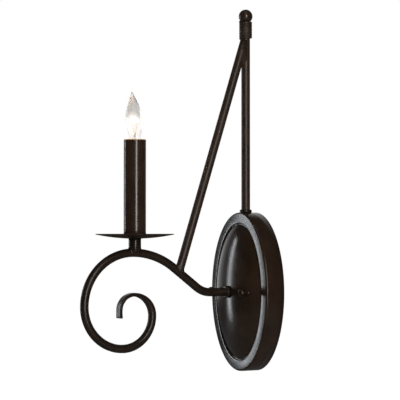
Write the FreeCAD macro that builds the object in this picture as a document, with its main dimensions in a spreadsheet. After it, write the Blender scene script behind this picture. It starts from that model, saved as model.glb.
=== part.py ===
import FreeCAD, Part
import math
import os
import re

import Sketcher
from FreeCAD import Placement, Rotation, Vector

# Torch sconce: an oval wall plate carries a scrolled tube arm with one candle light, and an
# upright mast with a slanting brace, bound at the top with wire under a ball.
#
# Frame: +Z up, X along the wall, the wall is the plane Y = 0 and the room lies towards -Y.
# The origin is the middle of the mounting strap on the wall, level with the arm.
# In names, "reach" is a distance out from the wall (-Y), "height" is Z and "side" is X.

SIZES = [
    ("plate_width", "159", "wall plate, side to side"),
    ("plate_height", "230", "wall plate, top to bottom"),
    ("plate_depth", "29.5", "wall to the face of the plate's rim"),
    ("plate_sheet", "1.2", "thickness of the pressed sheet"),
    ("rim_width", "16", "flat rim round the dome"),
    ("rim_groove", "1.2", "groove between the rim and the dome's foot"),
    ("rim_edge_radius", "2.5", "rounding from the rim to the skirt"),
    ("rim_step", "1.8", "depth of the step at the dome's foot"),
    ("dome_rise", "17.5", "dome's middle in front of the rim"),
    ("dome_fullness", "1.1", "whole ellipsoid over the part of it that shows"),
    ("strap_width", "16", "mounting strap"),
    ("strap_thickness", "2.2", "mounting strap"),
    ("strap_beyond_stud", "9.55", "from a stud's middle to the strap's end"),
    ("box_screw_spacing", "69.85", "middles of the two slots for the wall box's screws"),
    ("box_slot_length", "10", "slot, end to end"),
    ("box_slot_width", "5", "slot"),
    ("lead_hole_diameter", "10.5", "middle hole of the strap"),
    ("stud_beyond_slot", "9.525", "from a slot's middle to the stud beside it"),
    ("stud_diameter", "4", "stud"),
    ("stud_hole_diameter", "5", "clearance hole for a stud in the plate"),
    ("stud_grip", "6", "stud's length inside the ball nut"),
    ("stud_nut_diameter", "8", "lock nut on a stud, over its corners"),
    ("stud_nut_thickness", "3.2", "lock nut on a stud"),
    ("ball_nut_diameter", "12.3", "round nut"),
    ("ball_nut_neck_diameter", "8", "neck of the round nut"),
    ("ball_nut_neck_length", "2.1", "neck of the round nut"),
    ("ground_screw_side", "18", "earth screw, from the strap's middle"),
    ("ground_screw_diameter", "3.4", "earth screw's shank"),
    ("ground_head_diameter", "7.4", "earth screw's head"),
    ("ground_head_thickness", "2.4", "earth screw's head"),
    ("arm_diameter", "12", "arm tube, outside"),
    ("arm_bore", "9", "arm tube, inside"),
    ("bend_radius", "36.6", "bend from the level run up to the ramp"),
    ("ramp_angle", "37.1", "ramp above level, degrees"),
    ("crown_radius", "107.9", "bend over the crown"),
    ("crown_height", "57.4", "tube's axis at the crown"),
    ("crown_reach", "200.3", "tube's axis at the crown"),
    ("fall_radius", "74.4", "first quarter turn past the crown"),
    ("foot_radius", "59.6", "second quarter turn, to the lowest point"),
    ("return_radius", "45.5", "third quarter turn"),
    ("curl_radius", "29.8", "fourth quarter turn"),
    ("eye_radius", "21.5", "fifth quarter turn"),
    ("bore_angle", "20", "the bore ends this far round the fall, degrees"),
    ("tip_length", "11.2", "straight end of the scroll"),
    ("return_thickness", "10.8", "tube across the scroll, after the third turn"),
    ("return_breadth", "12.4", "tube along X, after the third turn"),
    ("curl_thickness", "5.4", "tube across the scroll, after the fourth turn"),
    ("curl_breadth", "13.6", "tube along X, after the fourth turn"),
    ("tip_thickness", "4.4", "hammered end, across the scroll"),
    ("tip_breadth", "14.6", "hammered end, along X"),
    ("collar_diameter", "18", "rounded rings on arm and mast"),
    ("collar_thickness", "5", "rounded rings on arm and mast"),
    ("nipple_diameter", "10", "hollow threaded rods"),
    ("nipple_bore", "7", "hollow threaded rods"),
    ("nipple_grip", "12", "arm nipple's length inside the arm"),
    ("nipple_spare", "3", "nipples stand this far past their nuts"),
    ("nut_diameter", "16", "nuts on the nipples, over their corners"),
    ("nut_thickness", "4", "nuts on the nipples"),
    ("washer_diameter", "20", "washer behind the dome"),
    ("washer_thickness", "1.5", "washer behind the dome"),
    ("mast_diameter", "12.7", "mast rod"),
    ("mast_reach", "16.4", "mast's axis from the wall"),
    ("mast_screw_diameter", "5", "screw up into the mast"),
    ("mast_screw_grip", "14", "screw's length inside the mast"),
    ("mast_head_diameter", "9", "screw's head"),
    ("mast_head_thickness", "4", "screw's head"),
    ("mast_washer_diameter", "12", "washer inside the skirt"),
    ("mast_washer_thickness", "1", "washer inside the skirt"),
    ("finial_diameter", "19.4", "ball on the mast"),
    ("finial_height", "401.7", "middle of the ball"),
    ("spigot_diameter", "6", "turned-down end of the mast in the ball"),
    ("spigot_length", "7", "turned-down end of the mast in the ball"),
    ("brace_diameter", "12.5", "brace rod"),
    ("brace_angle", "17.9", "brace from the mast, degrees"),
    ("brace_height", "371.6", "height where the brace's axis meets the mast's"),
    ("wrap_wire", "3.1", "binding wire"),
    ("wrap_pitch", "3.54", "rise of one turn of the wire"),
    ("wrap_turns", "7", "turns of the wire"),
    ("wrap_start", "-150", "direction of the wire's lower end about the mast, degrees"),
    ("candle_reach", "197", "candle's axis from the wall"),
    ("stem_diameter", "17.7", "stem, outside"),
    ("stem_bore", "12.5", "stem, inside"),
    ("stem_thread_depth", "6", "narrower tapped length at the stem's top"),
    ("saddle_depth", "5", "stem reaches this far down the arm's sides"),
    ("lead_hole_in_arm", "9", "hole in the arm's top under the stem"),
    ("pan_height", "77", "underside of the pan's middle"),
    ("pan_diameter", "110.4", "drip pan"),
    ("pan_rise", "5.8", "pan's underside, middle to edge"),
    ("pan_sheet", "1.2", "pan's thickness"),
    ("pan_seat_diameter", "34.4", "flat seat in the pan"),
    ("pan_seat_height", "1.8", "top of the seat above the pan's underside"),
    ("sleeve_diameter", "31.5", "candle sleeve"),
    ("sleeve_wall", "0.8", "candle sleeve"),
    ("sleeve_length", "137.3", "candle sleeve"),
    ("leg_thickness", "1.2", "socket's strip bracket"),
    ("leg_width", "9", "socket's strip bracket"),
    ("leg_reach", "11.2", "bracket's upright from the candle's axis"),
    ("leg_height", "89.3", "seat to the socket's underside"),
    ("leg_foot_diameter", "18", "round foot of the bracket, under the nut"),
    ("leg_tab", "4.5", "bracket's ends past the candle's axis"),
    ("leg_screw_diameter", "3", "screw up into the socket"),
    ("leg_screw_grip", "5", "screw's length inside the socket"),
    ("leg_head_diameter", "5.4", "screw's head"),
    ("leg_head_thickness", "2", "screw's head"),
    ("socket_diameter", "20.6", "socket body"),
    ("socket_height", "35", "socket body"),
    ("socket_floor", "10", "solid lower part of the socket body"),
    ("socket_shell_sheet", "0.5", "threaded shell of the socket"),
    ("contact_height", "2.6", "centre contact above the socket's floor"),
    ("contact_width", "5", "centre contact"),
    ("contact_length", "8", "centre contact"),
    ("bulb_base_diameter", "11.9", "candelabra screw base"),
    ("bulb_base_length", "19.5", "screw base's shell"),
    ("bulb_base_sheet", "0.3", "screw base's shell"),
    ("bulb_base_clearance", "0.3", "screw base to the socket's shell"),
    ("bulb_tip_diameter", "4", "bulb's contact"),
    ("bulb_tip_height", "1.5", "bulb's contact"),
    ("bulb_cone_height", "3.5", "bulb's insulator"),
    ("bulb_diameter", "25.2", "glass, at its widest"),
    ("bulb_height", "77.9", "glass above the screw base"),
    ("bulb_lean", "5", "bent tip, away from the wall"),
    ("bulb_glass_wall", "0.6", "glass"),
    ("bulb_neck_depth", "6.5", "glass inside the screw base"),
    ("filament_height", "36.5", "filament above the screw base"),
    ("filament_span", "10", "filament, end to end"),
    ("filament_arch", "2.5", "filament's middle above its ends"),
    ("filament_diameter", "0.7", "filament coil"),
    ("mount_height", "20", "glass mount above the screw base"),
    ("mount_tip_diameter", "2.5", "glass mount's upper end"),
    ("mount_grip", "6", "wires' length inside the glass mount"),
    ("bulb_lead_diameter", "0.5", "wires that carry the filament"),
    ("cable_diameter", "2.2", "insulated lead"),
    ("cable_side", "1.3", "leads from the arm's middle plane"),
    ("cable_drop", "1.4", "leads below the arm's axis"),
    ("cable_bend", "9", "tight bends of the leads"),
    ("cable_exit", "3", "straight lead behind the nipple"),
    ("cable_socket_side", "6.2", "leads from the candle's axis, under the socket"),
    ("cable_socket_grip", "4", "leads' length inside the socket"),
    ("cable_spread_angle", "20", "leads' spread above the stem's nipple, degrees"),
    ("cap_spread_angle", "35", "leads' spread above their caps, degrees"),
    ("ground_wire_diameter", "1.6", "bare earth lead"),
    ("ground_bend_angle", "25", "earth lead's step out from the strap, degrees"),
    ("cap_diameter", "12.4", "connector cap's mouth"),
    ("cap_tip_diameter", "8.4", "connector cap's closed end"),
    ("cap_length", "20", "connector cap"),
    ("cap_bore", "3", "connector cap"),
    ("cap_grip", "12", "lead's length inside a cap"),
    ("cap_side", "16", "lower caps from the middle"),
    ("cap_mouth_drop", "41", "mouths of the lower caps below the arm"),
    ("ground_cap_rise", "34", "mouth of the earth lead's cap above the arm"),
    ("ground_cap_reach", "11", "earth lead's cap from the wall"),
    ("slip", "0.05", "radial room where one piece slides into another"),
    ("seat_gap", "0.3", "room between curved pieces that all but touch"),
]

PLACES = [
    ("stud_spacing", "box_screw_spacing + 2 * stud_beyond_slot", "between the two studs"),
    ("strap_length", "stud_spacing + 2 * strap_beyond_stud", "mounting strap"),
    ("dome_base", "plate_depth - rim_step", "plane of the dome's foot"),
    ("dome_side", "(plate_width / 2 - rim_width - rim_groove) * dome_fullness",
     "ellipsoid, half-axis X"),
    ("dome_up", "(plate_height / 2 - rim_width - rim_groove) * dome_fullness",
     "ellipsoid, half-axis Z"),
    ("dome_hidden", "sqrt(1 - 1 / dome_fullness ^ 2)", "share of the half-axis Y behind the foot"),
    ("dome_out", "(dome_rise + rim_step) / (1 - dome_hidden)", "ellipsoid, half-axis Y"),
    ("dome_middle", "dome_base - dome_out * dome_hidden", "reach of the ellipsoid's middle"),
    ("dome_apex", "plate_depth + dome_rise", "reach of the dome's front"),
    ("stud_seat",
     "slip + dome_middle + dome_out"
     " * sqrt(1 - ((stud_spacing - ball_nut_neck_diameter) / 2 / dome_side) ^ 2)",
     "reach of the dome at the near edge of a round nut's neck"),
    ("washer_seat",
     "dome_middle + (dome_out - plate_sheet)"
     " * sqrt(1 - (washer_diameter / 2 / (dome_side - plate_sheet)) ^ 2)",
     "reach of the dome's inside at the washer's edge"),
    ("nipple_end", "washer_seat - washer_thickness - nut_thickness - nipple_spare",
     "reach of the arm nipple's inner end"),
    ("ball_nut_reach", "stud_seat + ball_nut_neck_length + ball_nut_diameter / 2", "ball's middle"),
    ("plate_top", "plate_height / 2", "mast's foot"),
    ("mast_washer_top",
     "(plate_height / 2 - plate_sheet)"
     " * sqrt(1 - (mast_washer_diameter / (plate_width - 2 * plate_sheet)) ^ 2)",
     "height of the skirt's inside at the washer's edge"),
    ("mast_top", "finial_height - finial_diameter / 4", "mast's shoulder, inside the ball"),
    ("wrap_radius", "mast_diameter / 2 + slip + wrap_wire / 2", "wire's axis from the mast's"),
    ("wrap_top",
     "finial_height - sqrt((finial_diameter / 2 + wrap_wire / 2 + 4 * slip) ^ 2"
     " - wrap_radius ^ 2)", "wire's upper end, just under the ball"),
    ("wrap_bottom", "wrap_top - wrap_turns * wrap_pitch", "wire's lower end"),
    ("brace_top", "wrap_bottom - wrap_wire / 2 - seat_gap", "brace is cut off under the wire"),
    ("pan_curve", "(pan_diameter ^ 2 / 4 + pan_rise ^ 2) / (2 * pan_rise)", "pan's outer radius"),
    ("candle_seat", "pan_height + pan_seat_height", "seat for the sleeve and the bracket"),
    ("stem_nut_seat", "candle_seat + leg_thickness", "underside of the nut in the pan"),
    ("nipple_top", "stem_nut_seat + nut_thickness + nipple_spare", "top of the stem's nipple"),
    ("socket_bottom", "candle_seat + leg_height", "socket body's underside"),
    ("socket_floor_top", "socket_bottom + socket_floor", "inside of the socket"),
    ("bulb_bottom", "socket_floor_top + contact_height + seat_gap", "bulb's contact"),
    ("bulb_cone_bottom", "bulb_bottom + bulb_tip_height", "bulb's insulator"),
    ("bulb_shell_bottom", "bulb_cone_bottom + bulb_cone_height", "bulb's screw shell"),
    ("bulb_shoulder", "bulb_shell_bottom + bulb_base_length", "glass comes out of the shell"),
    ("socket_shell_radius", "bulb_base_diameter / 2 + bulb_base_clearance", "shell's inside"),
    ("ground_wire_reach", "strap_thickness + slip + ground_wire_diameter / 2",
     "earth lead's end, under its screw's head"),
    ("ground_wire_side",
     "ground_screw_side + ground_screw_diameter / 2 + slip + ground_wire_diameter / 2",
     "earth lead, beside its screw's shank"),
    ("cap_reach", "nipple_end - cable_exit - cable_bend", "lower caps from the wall"),
]

SIZE_NAMES = {row[0] for row in SIZES}
PLACE_NAMES = {row[0] for row in PLACES}

UPRIGHT = Rotation()
OUTWARD = Rotation(Vector(1, 0, 0), 90)
OVAL_ON_WALL = Rotation(Vector(0, 0, 1), Vector(1, 0, 0), Vector(0, 1, 0), "XYZ")
ROOM = Vector(0, -1, 0)
UP = Vector(0, 0, 1)
CLIMB = Vector(-1, 0, 0)
EXTRA = 1.0

document = FreeCAD.newDocument("TorchSconce")
nodes = []


# ---- sheets and bound objects -------------------------------------------------------------

def bound(formula, own_sheet=False):
    """The formula with each name in it pointed at its cell."""
    def point(match):
        word = match.group(0)
        if word in SIZE_NAMES:
            return "Sizes." + word
        if word in PLACE_NAMES and not own_sheet:
            return "Places." + word
        return word
    return re.sub(r"[a-z][a-z_]*", point, formula)


def fill_sheet(name, rows):
    """One row for each value: what it is, and the cell that holds it."""
    sheet = document.addObject("Spreadsheet::Sheet", name)
    for number, (alias, content, meaning) in enumerate(rows, start=1):
        sheet.set(f"A{number}", meaning)
        sheet.set(f"B{number}", content)
        sheet.setAlias(f"B{number}", alias)
    document.recompute()
    return sheet


sizes = fill_sheet("Sizes", SIZES)
fill_sheet("Places", [(alias, "=" + bound(formula, own_sheet=True), meaning)
                      for alias, formula, meaning in PLACES])


def value(formula):
    """What a formula of sizes and places comes to."""
    return float(sizes.evalExpression(bound(formula)))


def bind(thing, **formulas):
    for prop, formula in formulas.items():
        thing.setExpression(prop, bound(formula))


def locate(thing, turn=UPRIGHT, side="0", reach="0", height="0"):
    """Turns a thing and binds its place."""
    thing.Placement = Placement(Vector(), turn)
    thing.setExpression("Placement.Base.x", bound(side))
    thing.setExpression("Placement.Base.y", bound(f"-({reach})"))
    thing.setExpression("Placement.Base.z", bound(height))
    return thing


def cylinder(name, diameter, length, **where):
    rod = document.addObject("Part::Cylinder", name)
    bind(rod, Radius=f"({diameter}) / 2", Height=length)
    return locate(rod, **where)


def cone(name, lower_diameter, upper_diameter, length, **where):
    taper = document.addObject("Part::Cone", name)
    bind(taper, Radius1=f"({lower_diameter}) / 2", Radius2=f"({upper_diameter}) / 2",
         Height=length)
    return locate(taper, **where)


def hexagon(name, over_corners, length, **where):
    prism = document.addObject("Part::Prism", name)
    prism.Polygon = 6
    bind(prism, Circumradius=f"({over_corners}) / 2", Height=length)
    return locate(prism, **where)


def box(name, width, depth, tall, **where):
    block = document.addObject("Part::Box", name)
    bind(block, Length=width, Width=depth, Height=tall)
    return locate(block, **where)


def ball(name, diameter, **where):
    sphere = document.addObject("Part::Sphere", name)
    bind(sphere, Radius=f"({diameter}) / 2")
    return locate(sphere, **where)


def ellipsoid_cap(name, side_axis, out_axis, up_axis, cut_share, **where):
    """Part of an ellipsoid beyond a plane across its out axis, at a share of that axis."""
    egg = document.addObject("Part::Ellipsoid", name)
    bind(egg, Radius2=side_axis, Radius1=out_axis, Radius3=up_axis,
         Angle1=f"asin({cut_share})")
    return locate(egg, OUTWARD, **where)


def fuse(name, *pieces):
    whole = document.addObject("Part::MultiFuse", name)
    whole.Shapes = list(pieces)
    whole.Refine = True
    return whole


def cut(name, base, *tools):
    """The base without the tools, which are cut away one by one."""
    for number, tool in enumerate(tools, start=1):
        last = number == len(tools)
        step = document.addObject("Part::Cut", name if last else f"{name}_cut_{number}")
        step.Base = base
        step.Tool = tool
        step.Refine = True
        base = step
    return base


def common(name, *pieces):
    shared = document.addObject("Part::MultiCommon", name)
    shared.Shapes = list(pieces)
    shared.Refine = True
    return shared


def pair(name, piece):
    """The piece and its mirror image on the other side of X = 0."""
    twin = document.addObject("Part::Mirroring", name + "_twin")
    twin.Source = piece
    twin.Normal = Vector(1, 0, 0)
    both = document.addObject("Part::Compound", name)
    both.Links = [piece, twin]
    return both


def shaped(name, shape):
    """A feature with a shape of its own, for what no primitive or sketch makes."""
    feature = document.addObject("Part::Feature", name)
    feature.Shape = shape
    return feature


def keep(thing):
    """Marks a finished piece; its label names its file."""
    thing.Label = thing.Name
    nodes.append(thing)
    return thing


def rounded_ring(name, bore, **where):
    """A collar: a disc with a fully rounded rim, bored for its rod."""
    across = "collar_diameter - collar_thickness"
    disc = cylinder(name + "_disc", across, "collar_thickness", **where)
    rim = document.addObject("Part::Torus", name + "_rim")
    bind(rim, Radius1=f"({across}) / 2", Radius2="collar_thickness / 2")
    middle = dict(where)
    along = "reach" if where.get("turn") is OUTWARD else "height"
    middle[along] = f"({where[along]}) + collar_thickness / 2"
    locate(rim, **middle)
    past = dict(where)
    past[along] = f"({where[along]}) - {EXTRA}"
    hole = cylinder(name + "_hole", bore, f"collar_thickness + 2 * {EXTRA}", **past)
    return cut(name, fuse(name + "_solid", disc, rim), hole)


# ---- sketched pieces ------------------------------------------------------------------------

def sketch_on(body, name, plane):
    sketch = body.newObject("Sketcher::SketchObject", name)
    feature = next(item for item in body.Origin.OriginFeatures if item.Role == plane)
    sketch.AttachmentSupport = [(feature, "")]
    sketch.MapMode = "FlatFace"
    return sketch


def pin_point(sketch, geometry, point, across, up):
    """Binds one point of a sketch to two formulas, measured from the sketch's origin."""
    for kind, formula in (("DistanceX", across), ("DistanceY", up)):
        rule = Sketcher.Constraint(kind, -1, 1, geometry, point, value(formula))
        index = sketch.addConstraint(rule)
        sketch.setExpression(f"Constraints[{index}]", bound(formula))


def pin_radius(sketch, geometry, diameter):
    index = sketch.addConstraint(Sketcher.Constraint("Radius", geometry, value(diameter) / 2))
    sketch.setExpression(f"Constraints[{index}]", bound(f"({diameter}) / 2"))


def draw_polygon(sketch, corners):
    """A closed outline; each corner is a pair of formulas."""
    points = [Vector(value(across), value(up), 0) for across, up in corners]
    sides = [sketch.addGeometry(Part.LineSegment(here, there))
             for here, there in zip(points, points[1:] + points[:1])]
    for here, there in zip(sides, sides[1:] + sides[:1]):
        sketch.addConstraint(Sketcher.Constraint("Coincident", here, 2, there, 1))
    for line, (across, up) in zip(sides, corners):
        pin_point(sketch, line, 1, across, up)


def draw_circle(sketch, diameter, across):
    """A round hole on the sketch's level line."""
    ring = sketch.addGeometry(Part.Circle(Vector(value(across), 0, 0), Vector(0, 0, 1),
                                          value(diameter) / 2))
    pin_point(sketch, ring, 3, across, "0")
    pin_radius(sketch, ring, diameter)


def draw_slot(sketch, length, width, across):
    """A level slot: two half circles joined by two lines."""
    radius = value(width) / 2
    half = f"(({length}) - ({width})) / 2"
    left = Vector(value(f"({across}) - {half}"), 0, 0)
    right = Vector(value(f"({across}) + {half}"), 0, 0)
    lift = Vector(0, radius, 0)
    normal = Vector(0, 0, 1)
    left_end = sketch.addGeometry(Part.ArcOfCircle(
        Part.Circle(left, normal, radius), math.pi / 2, 1.5 * math.pi))
    right_end = sketch.addGeometry(Part.ArcOfCircle(
        Part.Circle(right, normal, radius), -math.pi / 2, math.pi / 2))
    top = sketch.addGeometry(Part.LineSegment(right + lift, left + lift))
    bottom = sketch.addGeometry(Part.LineSegment(left - lift, right - lift))
    for here, there in ((right_end, top), (top, left_end), (left_end, bottom),
                        (bottom, right_end)):
        sketch.addConstraint(Sketcher.Constraint("Tangent", here, 2, there, 1))
    pin_point(sketch, left_end, 3, f"({across}) - {half}", "0")
    pin_point(sketch, right_end, 3, f"({across}) + {half}", "0")
    pin_radius(sketch, left_end, width)


def pad(body, name, profile, length, side_type="One side"):
    feature = body.newObject("PartDesign::Pad", name)
    feature.Profile = profile
    feature.SideType = side_type
    bind(feature, Length=length)
    return feature


def pocket_through(body, name, profile):
    """Cuts the profile right through, both ways; the volume has to fall."""
    document.recompute()
    before = body.Shape.Volume
    feature = body.newObject("PartDesign::Pocket", name)
    feature.Profile = profile
    feature.Type = "ThroughAll"
    feature.SideType = "Symmetric"
    document.recompute()
    if not body.Shape.Volume < before:
        raise RuntimeError(name + " cuts nothing")
    return feature


# ---- routes of tubes and wires --------------------------------------------------------------

class Route:
    """A line of straight runs and tangent arcs, followed from a point."""

    def __init__(self, start, heading):
        self.start = Vector(start)
        self.start_heading = Vector(heading)
        self.place = Vector(start)
        self.heading = Vector(heading)
        self.edges = []

    def run(self, length):
        end = self.place + self.heading * length
        self.edges.append(Part.LineSegment(self.place, end).toShape())
        self.place = end

    def run_to_height(self, height):
        self.run((height - self.place.z) / self.heading.z)

    def turn(self, radius, degrees, axis):
        """An arc about the axis, right-handed for a positive angle."""
        centre = self.place + axis.cross(self.heading) * math.copysign(radius, degrees)
        spoke = self.place - centre
        middle = centre + Rotation(axis, degrees / 2).multVec(spoke)
        end = centre + Rotation(axis, degrees).multVec(spoke)
        self.edges.append(Part.Arc(self.place, middle, end).toShape())
        self.heading = Rotation(axis, degrees).multVec(self.heading)
        self.place = end

    def sidestep(self, radius, degrees, offset, axis):
        """Moves over to a parallel line: a turn, a run and the turn back."""
        angle = math.radians(degrees)
        self.turn(radius, degrees, axis)
        self.run((offset - 2 * radius * (1 - math.cos(angle))) / math.sin(angle))
        self.turn(radius, -degrees, axis)


def tube(name, wire, start, heading, diameter):
    """A round solid along a wire; its volume is held against section times length."""
    profile = Part.Wire(Part.makeCircle(diameter / 2, start, heading))
    solid = wire.makePipeShell([profile], True, False)
    share = solid.Volume / (math.pi * diameter ** 2 / 4 * wire.Length)
    print(f"{name}: length {wire.Length:.2f} mm, volume over section times length {share:.5f}")
    return solid


def route_tube(name, route, diameter):
    return tube(name, Part.Wire(route.edges), route.start, route.start_heading, diameter)


# ---- wall plate -----------------------------------------------------------------------------

def oval_block(name, across, tall, depth, start="0"):
    """An upright oval prism, from the start out into the room."""
    line = document.addObject("Part::Ellipse", name + "_line")
    bind(line, MajorRadius=f"({tall}) / 2", MinorRadius=f"({across}) / 2")
    locate(line, OVAL_ON_WALL, reach=start)
    block = document.addObject("Part::Extrusion", name)
    block.Base = line
    block.DirMode = "Custom"
    block.Dir = ROOM
    block.Solid = True
    bind(block, LengthFwd=depth)
    return block


def round_front_edge(name, block, reach, radius):
    """Rounds the edge of an oval block that lies in its front plane."""
    document.recompute()
    edges = [number for number, edge in enumerate(block.Shape.Edges, start=1)
             if all(math.isclose(corner.Y, -reach) for corner in edge.Vertexes)]
    rounded = document.addObject("Part::Fillet", name)
    rounded.Base = block
    rounded.Edges = [(number, radius, radius) for number in edges]
    return rounded


def dome(name, inset, start):
    """The ellipsoid of the dome, drawn in by the inset, in front of a plane."""
    return ellipsoid_cap(name, f"dome_side - {inset}", f"dome_out - {inset}",
                         f"dome_up - {inset}",
                         f"({start} - dome_middle) / (dome_out - {inset})",
                         reach="dome_middle")


def make_canopy_shell():
    """Pressed oval sheet: skirt, flat rim, a groove, and the dome; open to the wall."""
    block = oval_block("plate_block", "plate_width", "plate_height", "plate_depth")
    rounded = round_front_edge("plate_rounded", block, value("plate_depth"),
                               value("rim_edge_radius"))
    recess = oval_block("plate_recess", "plate_width - 2 * rim_width",
                        "plate_height - 2 * rim_width", "2 * rim_step", "dome_base")
    outside = fuse("plate_outside", cut("plate_rim", rounded, recess),
                   dome("dome_outside", "0", "dome_base"))
    hollow = oval_block("plate_hollow", "plate_width - 2 * plate_sheet",
                        "plate_height - 2 * plate_sheet", "dome_base - plate_sheet")
    inside = fuse("plate_inside", hollow,
                  dome("dome_inside", "plate_sheet", "dome_base - 2 * plate_sheet"))
    arm_hole = cylinder("arm_hole", "nipple_diameter + 2 * slip", "dome_apex",
                        turn=OUTWARD, reach="dome_middle")
    stud_holes = pair("stud_holes", cylinder("stud_hole", "stud_hole_diameter", "dome_apex",
                                             turn=OUTWARD, side="stud_spacing / 2",
                                             reach="dome_middle"))
    mast_hole = cylinder("mast_hole", "mast_screw_diameter + 4 * slip", "4 * plate_sheet",
                         reach="mast_reach", height="plate_top - 2 * plate_sheet")
    keep(cut("canopy_shell", outside, inside, arm_hole, stud_holes, mast_hole))
    return block


def make_mounting_strap():
    """Flat steel bar: two slots for the wall box, tapped holes for studs and earth screw."""
    body = document.addObject("PartDesign::Body", "mounting_strap")
    outline = sketch_on(body, "strap_outline", "XZ_Plane")
    draw_polygon(outline, [("strap_length / 2", "strap_width / 2"),
                           ("-strap_length / 2", "strap_width / 2"),
                           ("-strap_length / 2", "-strap_width / 2"),
                           ("strap_length / 2", "-strap_width / 2")])
    pad(body, "strap_pad", outline, "strap_thickness")
    holes = sketch_on(body, "strap_holes", "XZ_Plane")
    draw_circle(holes, "lead_hole_diameter", "0")
    draw_circle(holes, "stud_diameter + 2 * slip", "stud_spacing / 2")
    draw_circle(holes, "stud_diameter + 2 * slip", "-stud_spacing / 2")
    draw_circle(holes, "ground_screw_diameter + 2 * slip", "ground_screw_side")
    draw_slot(holes, "box_slot_length", "box_slot_width", "box_screw_spacing / 2")
    draw_slot(holes, "box_slot_length", "box_slot_width", "-box_screw_spacing / 2")
    pocket_through(body, "strap_openings", holes)
    keep(body)


def make_plate_fixings():
    """Studs, their lock nuts and the round nuts, in pairs; the earth screw."""
    stud = cylinder("stud", "stud_diameter", "stud_seat + stud_grip", turn=OUTWARD,
                    side="stud_spacing / 2")
    keep(pair("mounting_studs", stud))
    nut = hexagon("stud_nut_blank", "stud_nut_diameter", "stud_nut_thickness", turn=OUTWARD,
                  side="stud_spacing / 2", reach="strap_thickness")
    nut_bore = cylinder("stud_nut_bore", "stud_diameter + 2 * slip", "dome_apex",
                        turn=OUTWARD, side="stud_spacing / 2")
    keep(pair("stud_lock_nuts", cut("stud_lock_nut", nut, nut_bore)))
    knob = ball("ball_nut_knob", "ball_nut_diameter", side="stud_spacing / 2",
                reach="ball_nut_reach")
    neck = cylinder("ball_nut_neck", "ball_nut_neck_diameter", "ball_nut_reach - stud_seat",
                    turn=OUTWARD, side="stud_spacing / 2", reach="stud_seat")
    tapped = cylinder("ball_nut_bore", "stud_diameter + 2 * slip", "2 * stud_grip",
                      turn=OUTWARD, side="stud_spacing / 2",
                      reach=f"stud_seat - stud_grip + {EXTRA}")
    keep(pair("ball_nuts", cut("ball_nut", fuse("ball_nut_blank", knob, neck), tapped)))
    under_head = "strap_thickness + ground_wire_diameter + 2 * slip"
    shank = cylinder("ground_shank", "ground_screw_diameter", under_head,
                     turn=OUTWARD, side="ground_screw_side")
    head = cylinder("ground_head", "ground_head_diameter", "ground_head_thickness",
                    turn=OUTWARD, side="ground_screw_side", reach=under_head)
    keep(fuse("ground_screw", shank, head))


# ---- arm ------------------------------------------------------------------------------------

def climb(route, drop, last_angle):
    """Out from the plate, up the ramp and over to the last angle, below the arm's axis."""
    angle = math.radians(value("ramp_angle"))
    both = value("bend_radius + crown_radius")
    ramp = (value("crown_height") - both * (1 - math.cos(angle))) / math.sin(angle)
    bend_reach = value("crown_reach") - both * math.sin(angle) - ramp * math.cos(angle)
    route.run(bend_reach + route.place.y)
    route.turn(value("bend_radius") + drop, value("ramp_angle"), CLIMB)
    route.run(ramp)
    route.turn(value("crown_radius") - drop, last_angle - value("ramp_angle"), CLIMB)
    return route


def arm_start():
    return Vector(0, -value("dome_apex"), 0)


def round_arm_route():
    """The arm's axis as far as the tube stays round: to the lowest point of the scroll."""
    route = climb(Route(arm_start(), ROOM), 0, 0)
    route.turn(value("fall_radius"), -90, CLIMB)
    route.turn(value("foot_radius"), -90, CLIMB)
    return route


def oval_section(route, thickness, breadth):
    """An oval across the route where it now stands, its long axis along X."""
    oval = Part.Ellipse(Vector(), breadth / 2, thickness / 2).toShape()
    side = Vector(1, 0, 0)
    across = Rotation(side, route.heading.cross(side), route.heading, "XYZ")
    oval.Placement = Placement(route.place, across)
    return Part.Wire(oval)


def hammered_end(route):
    """The rest of the scroll, drawn down from the round tube to its flat end."""
    sections = [oval_section(route, value("arm_diameter"), value("arm_diameter"))]
    route.edges = []
    for part in ("return", "curl"):
        route.turn(value(part + "_radius"), -90, CLIMB)
        sections.append(oval_section(route, value(part + "_thickness"),
                                     value(part + "_breadth")))
    route.turn(value("eye_radius"), -90, CLIMB)
    route.run(value("tip_length"))
    sections.append(oval_section(route, value("tip_thickness"), value("tip_breadth")))
    sweep = Part.BRepOffsetAPI.MakePipeShell(Part.Wire(route.edges))
    sweep.setBiNormalMode(Vector(1, 0, 0))
    for section in sections:
        sweep.add(section)
    sweep.build()
    sweep.makeSolid()
    return sweep.shape()


def make_scroll_arm():
    """One tube, bored from the plate to past the candle; returns it before it is bored."""
    route = round_arm_route()
    whole = route_tube("scroll_arm", route, value("arm_diameter"))
    whole = whole.fuse(hammered_end(route)).removeSplitter()
    inner = climb(Route(arm_start(), ROOM), 0, 0)
    inner.turn(value("fall_radius"), -value("bore_angle"), CLIMB)
    bore = route_tube("bore of scroll_arm", inner, value("arm_bore"))
    socket = Part.makeCylinder(value("nipple_diameter / 2 + slip"),
                               value("nipple_grip") + EXTRA, arm_start(), ROOM)
    lead_hole = Part.makeCylinder(value("lead_hole_in_arm") / 2, value("arm_diameter"),
                                  Vector(0, -value("candle_reach"), value("crown_height")), UP)
    keep(shaped("scroll_arm", whole.cut([bore, socket, lead_hole])))
    return whole


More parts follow.
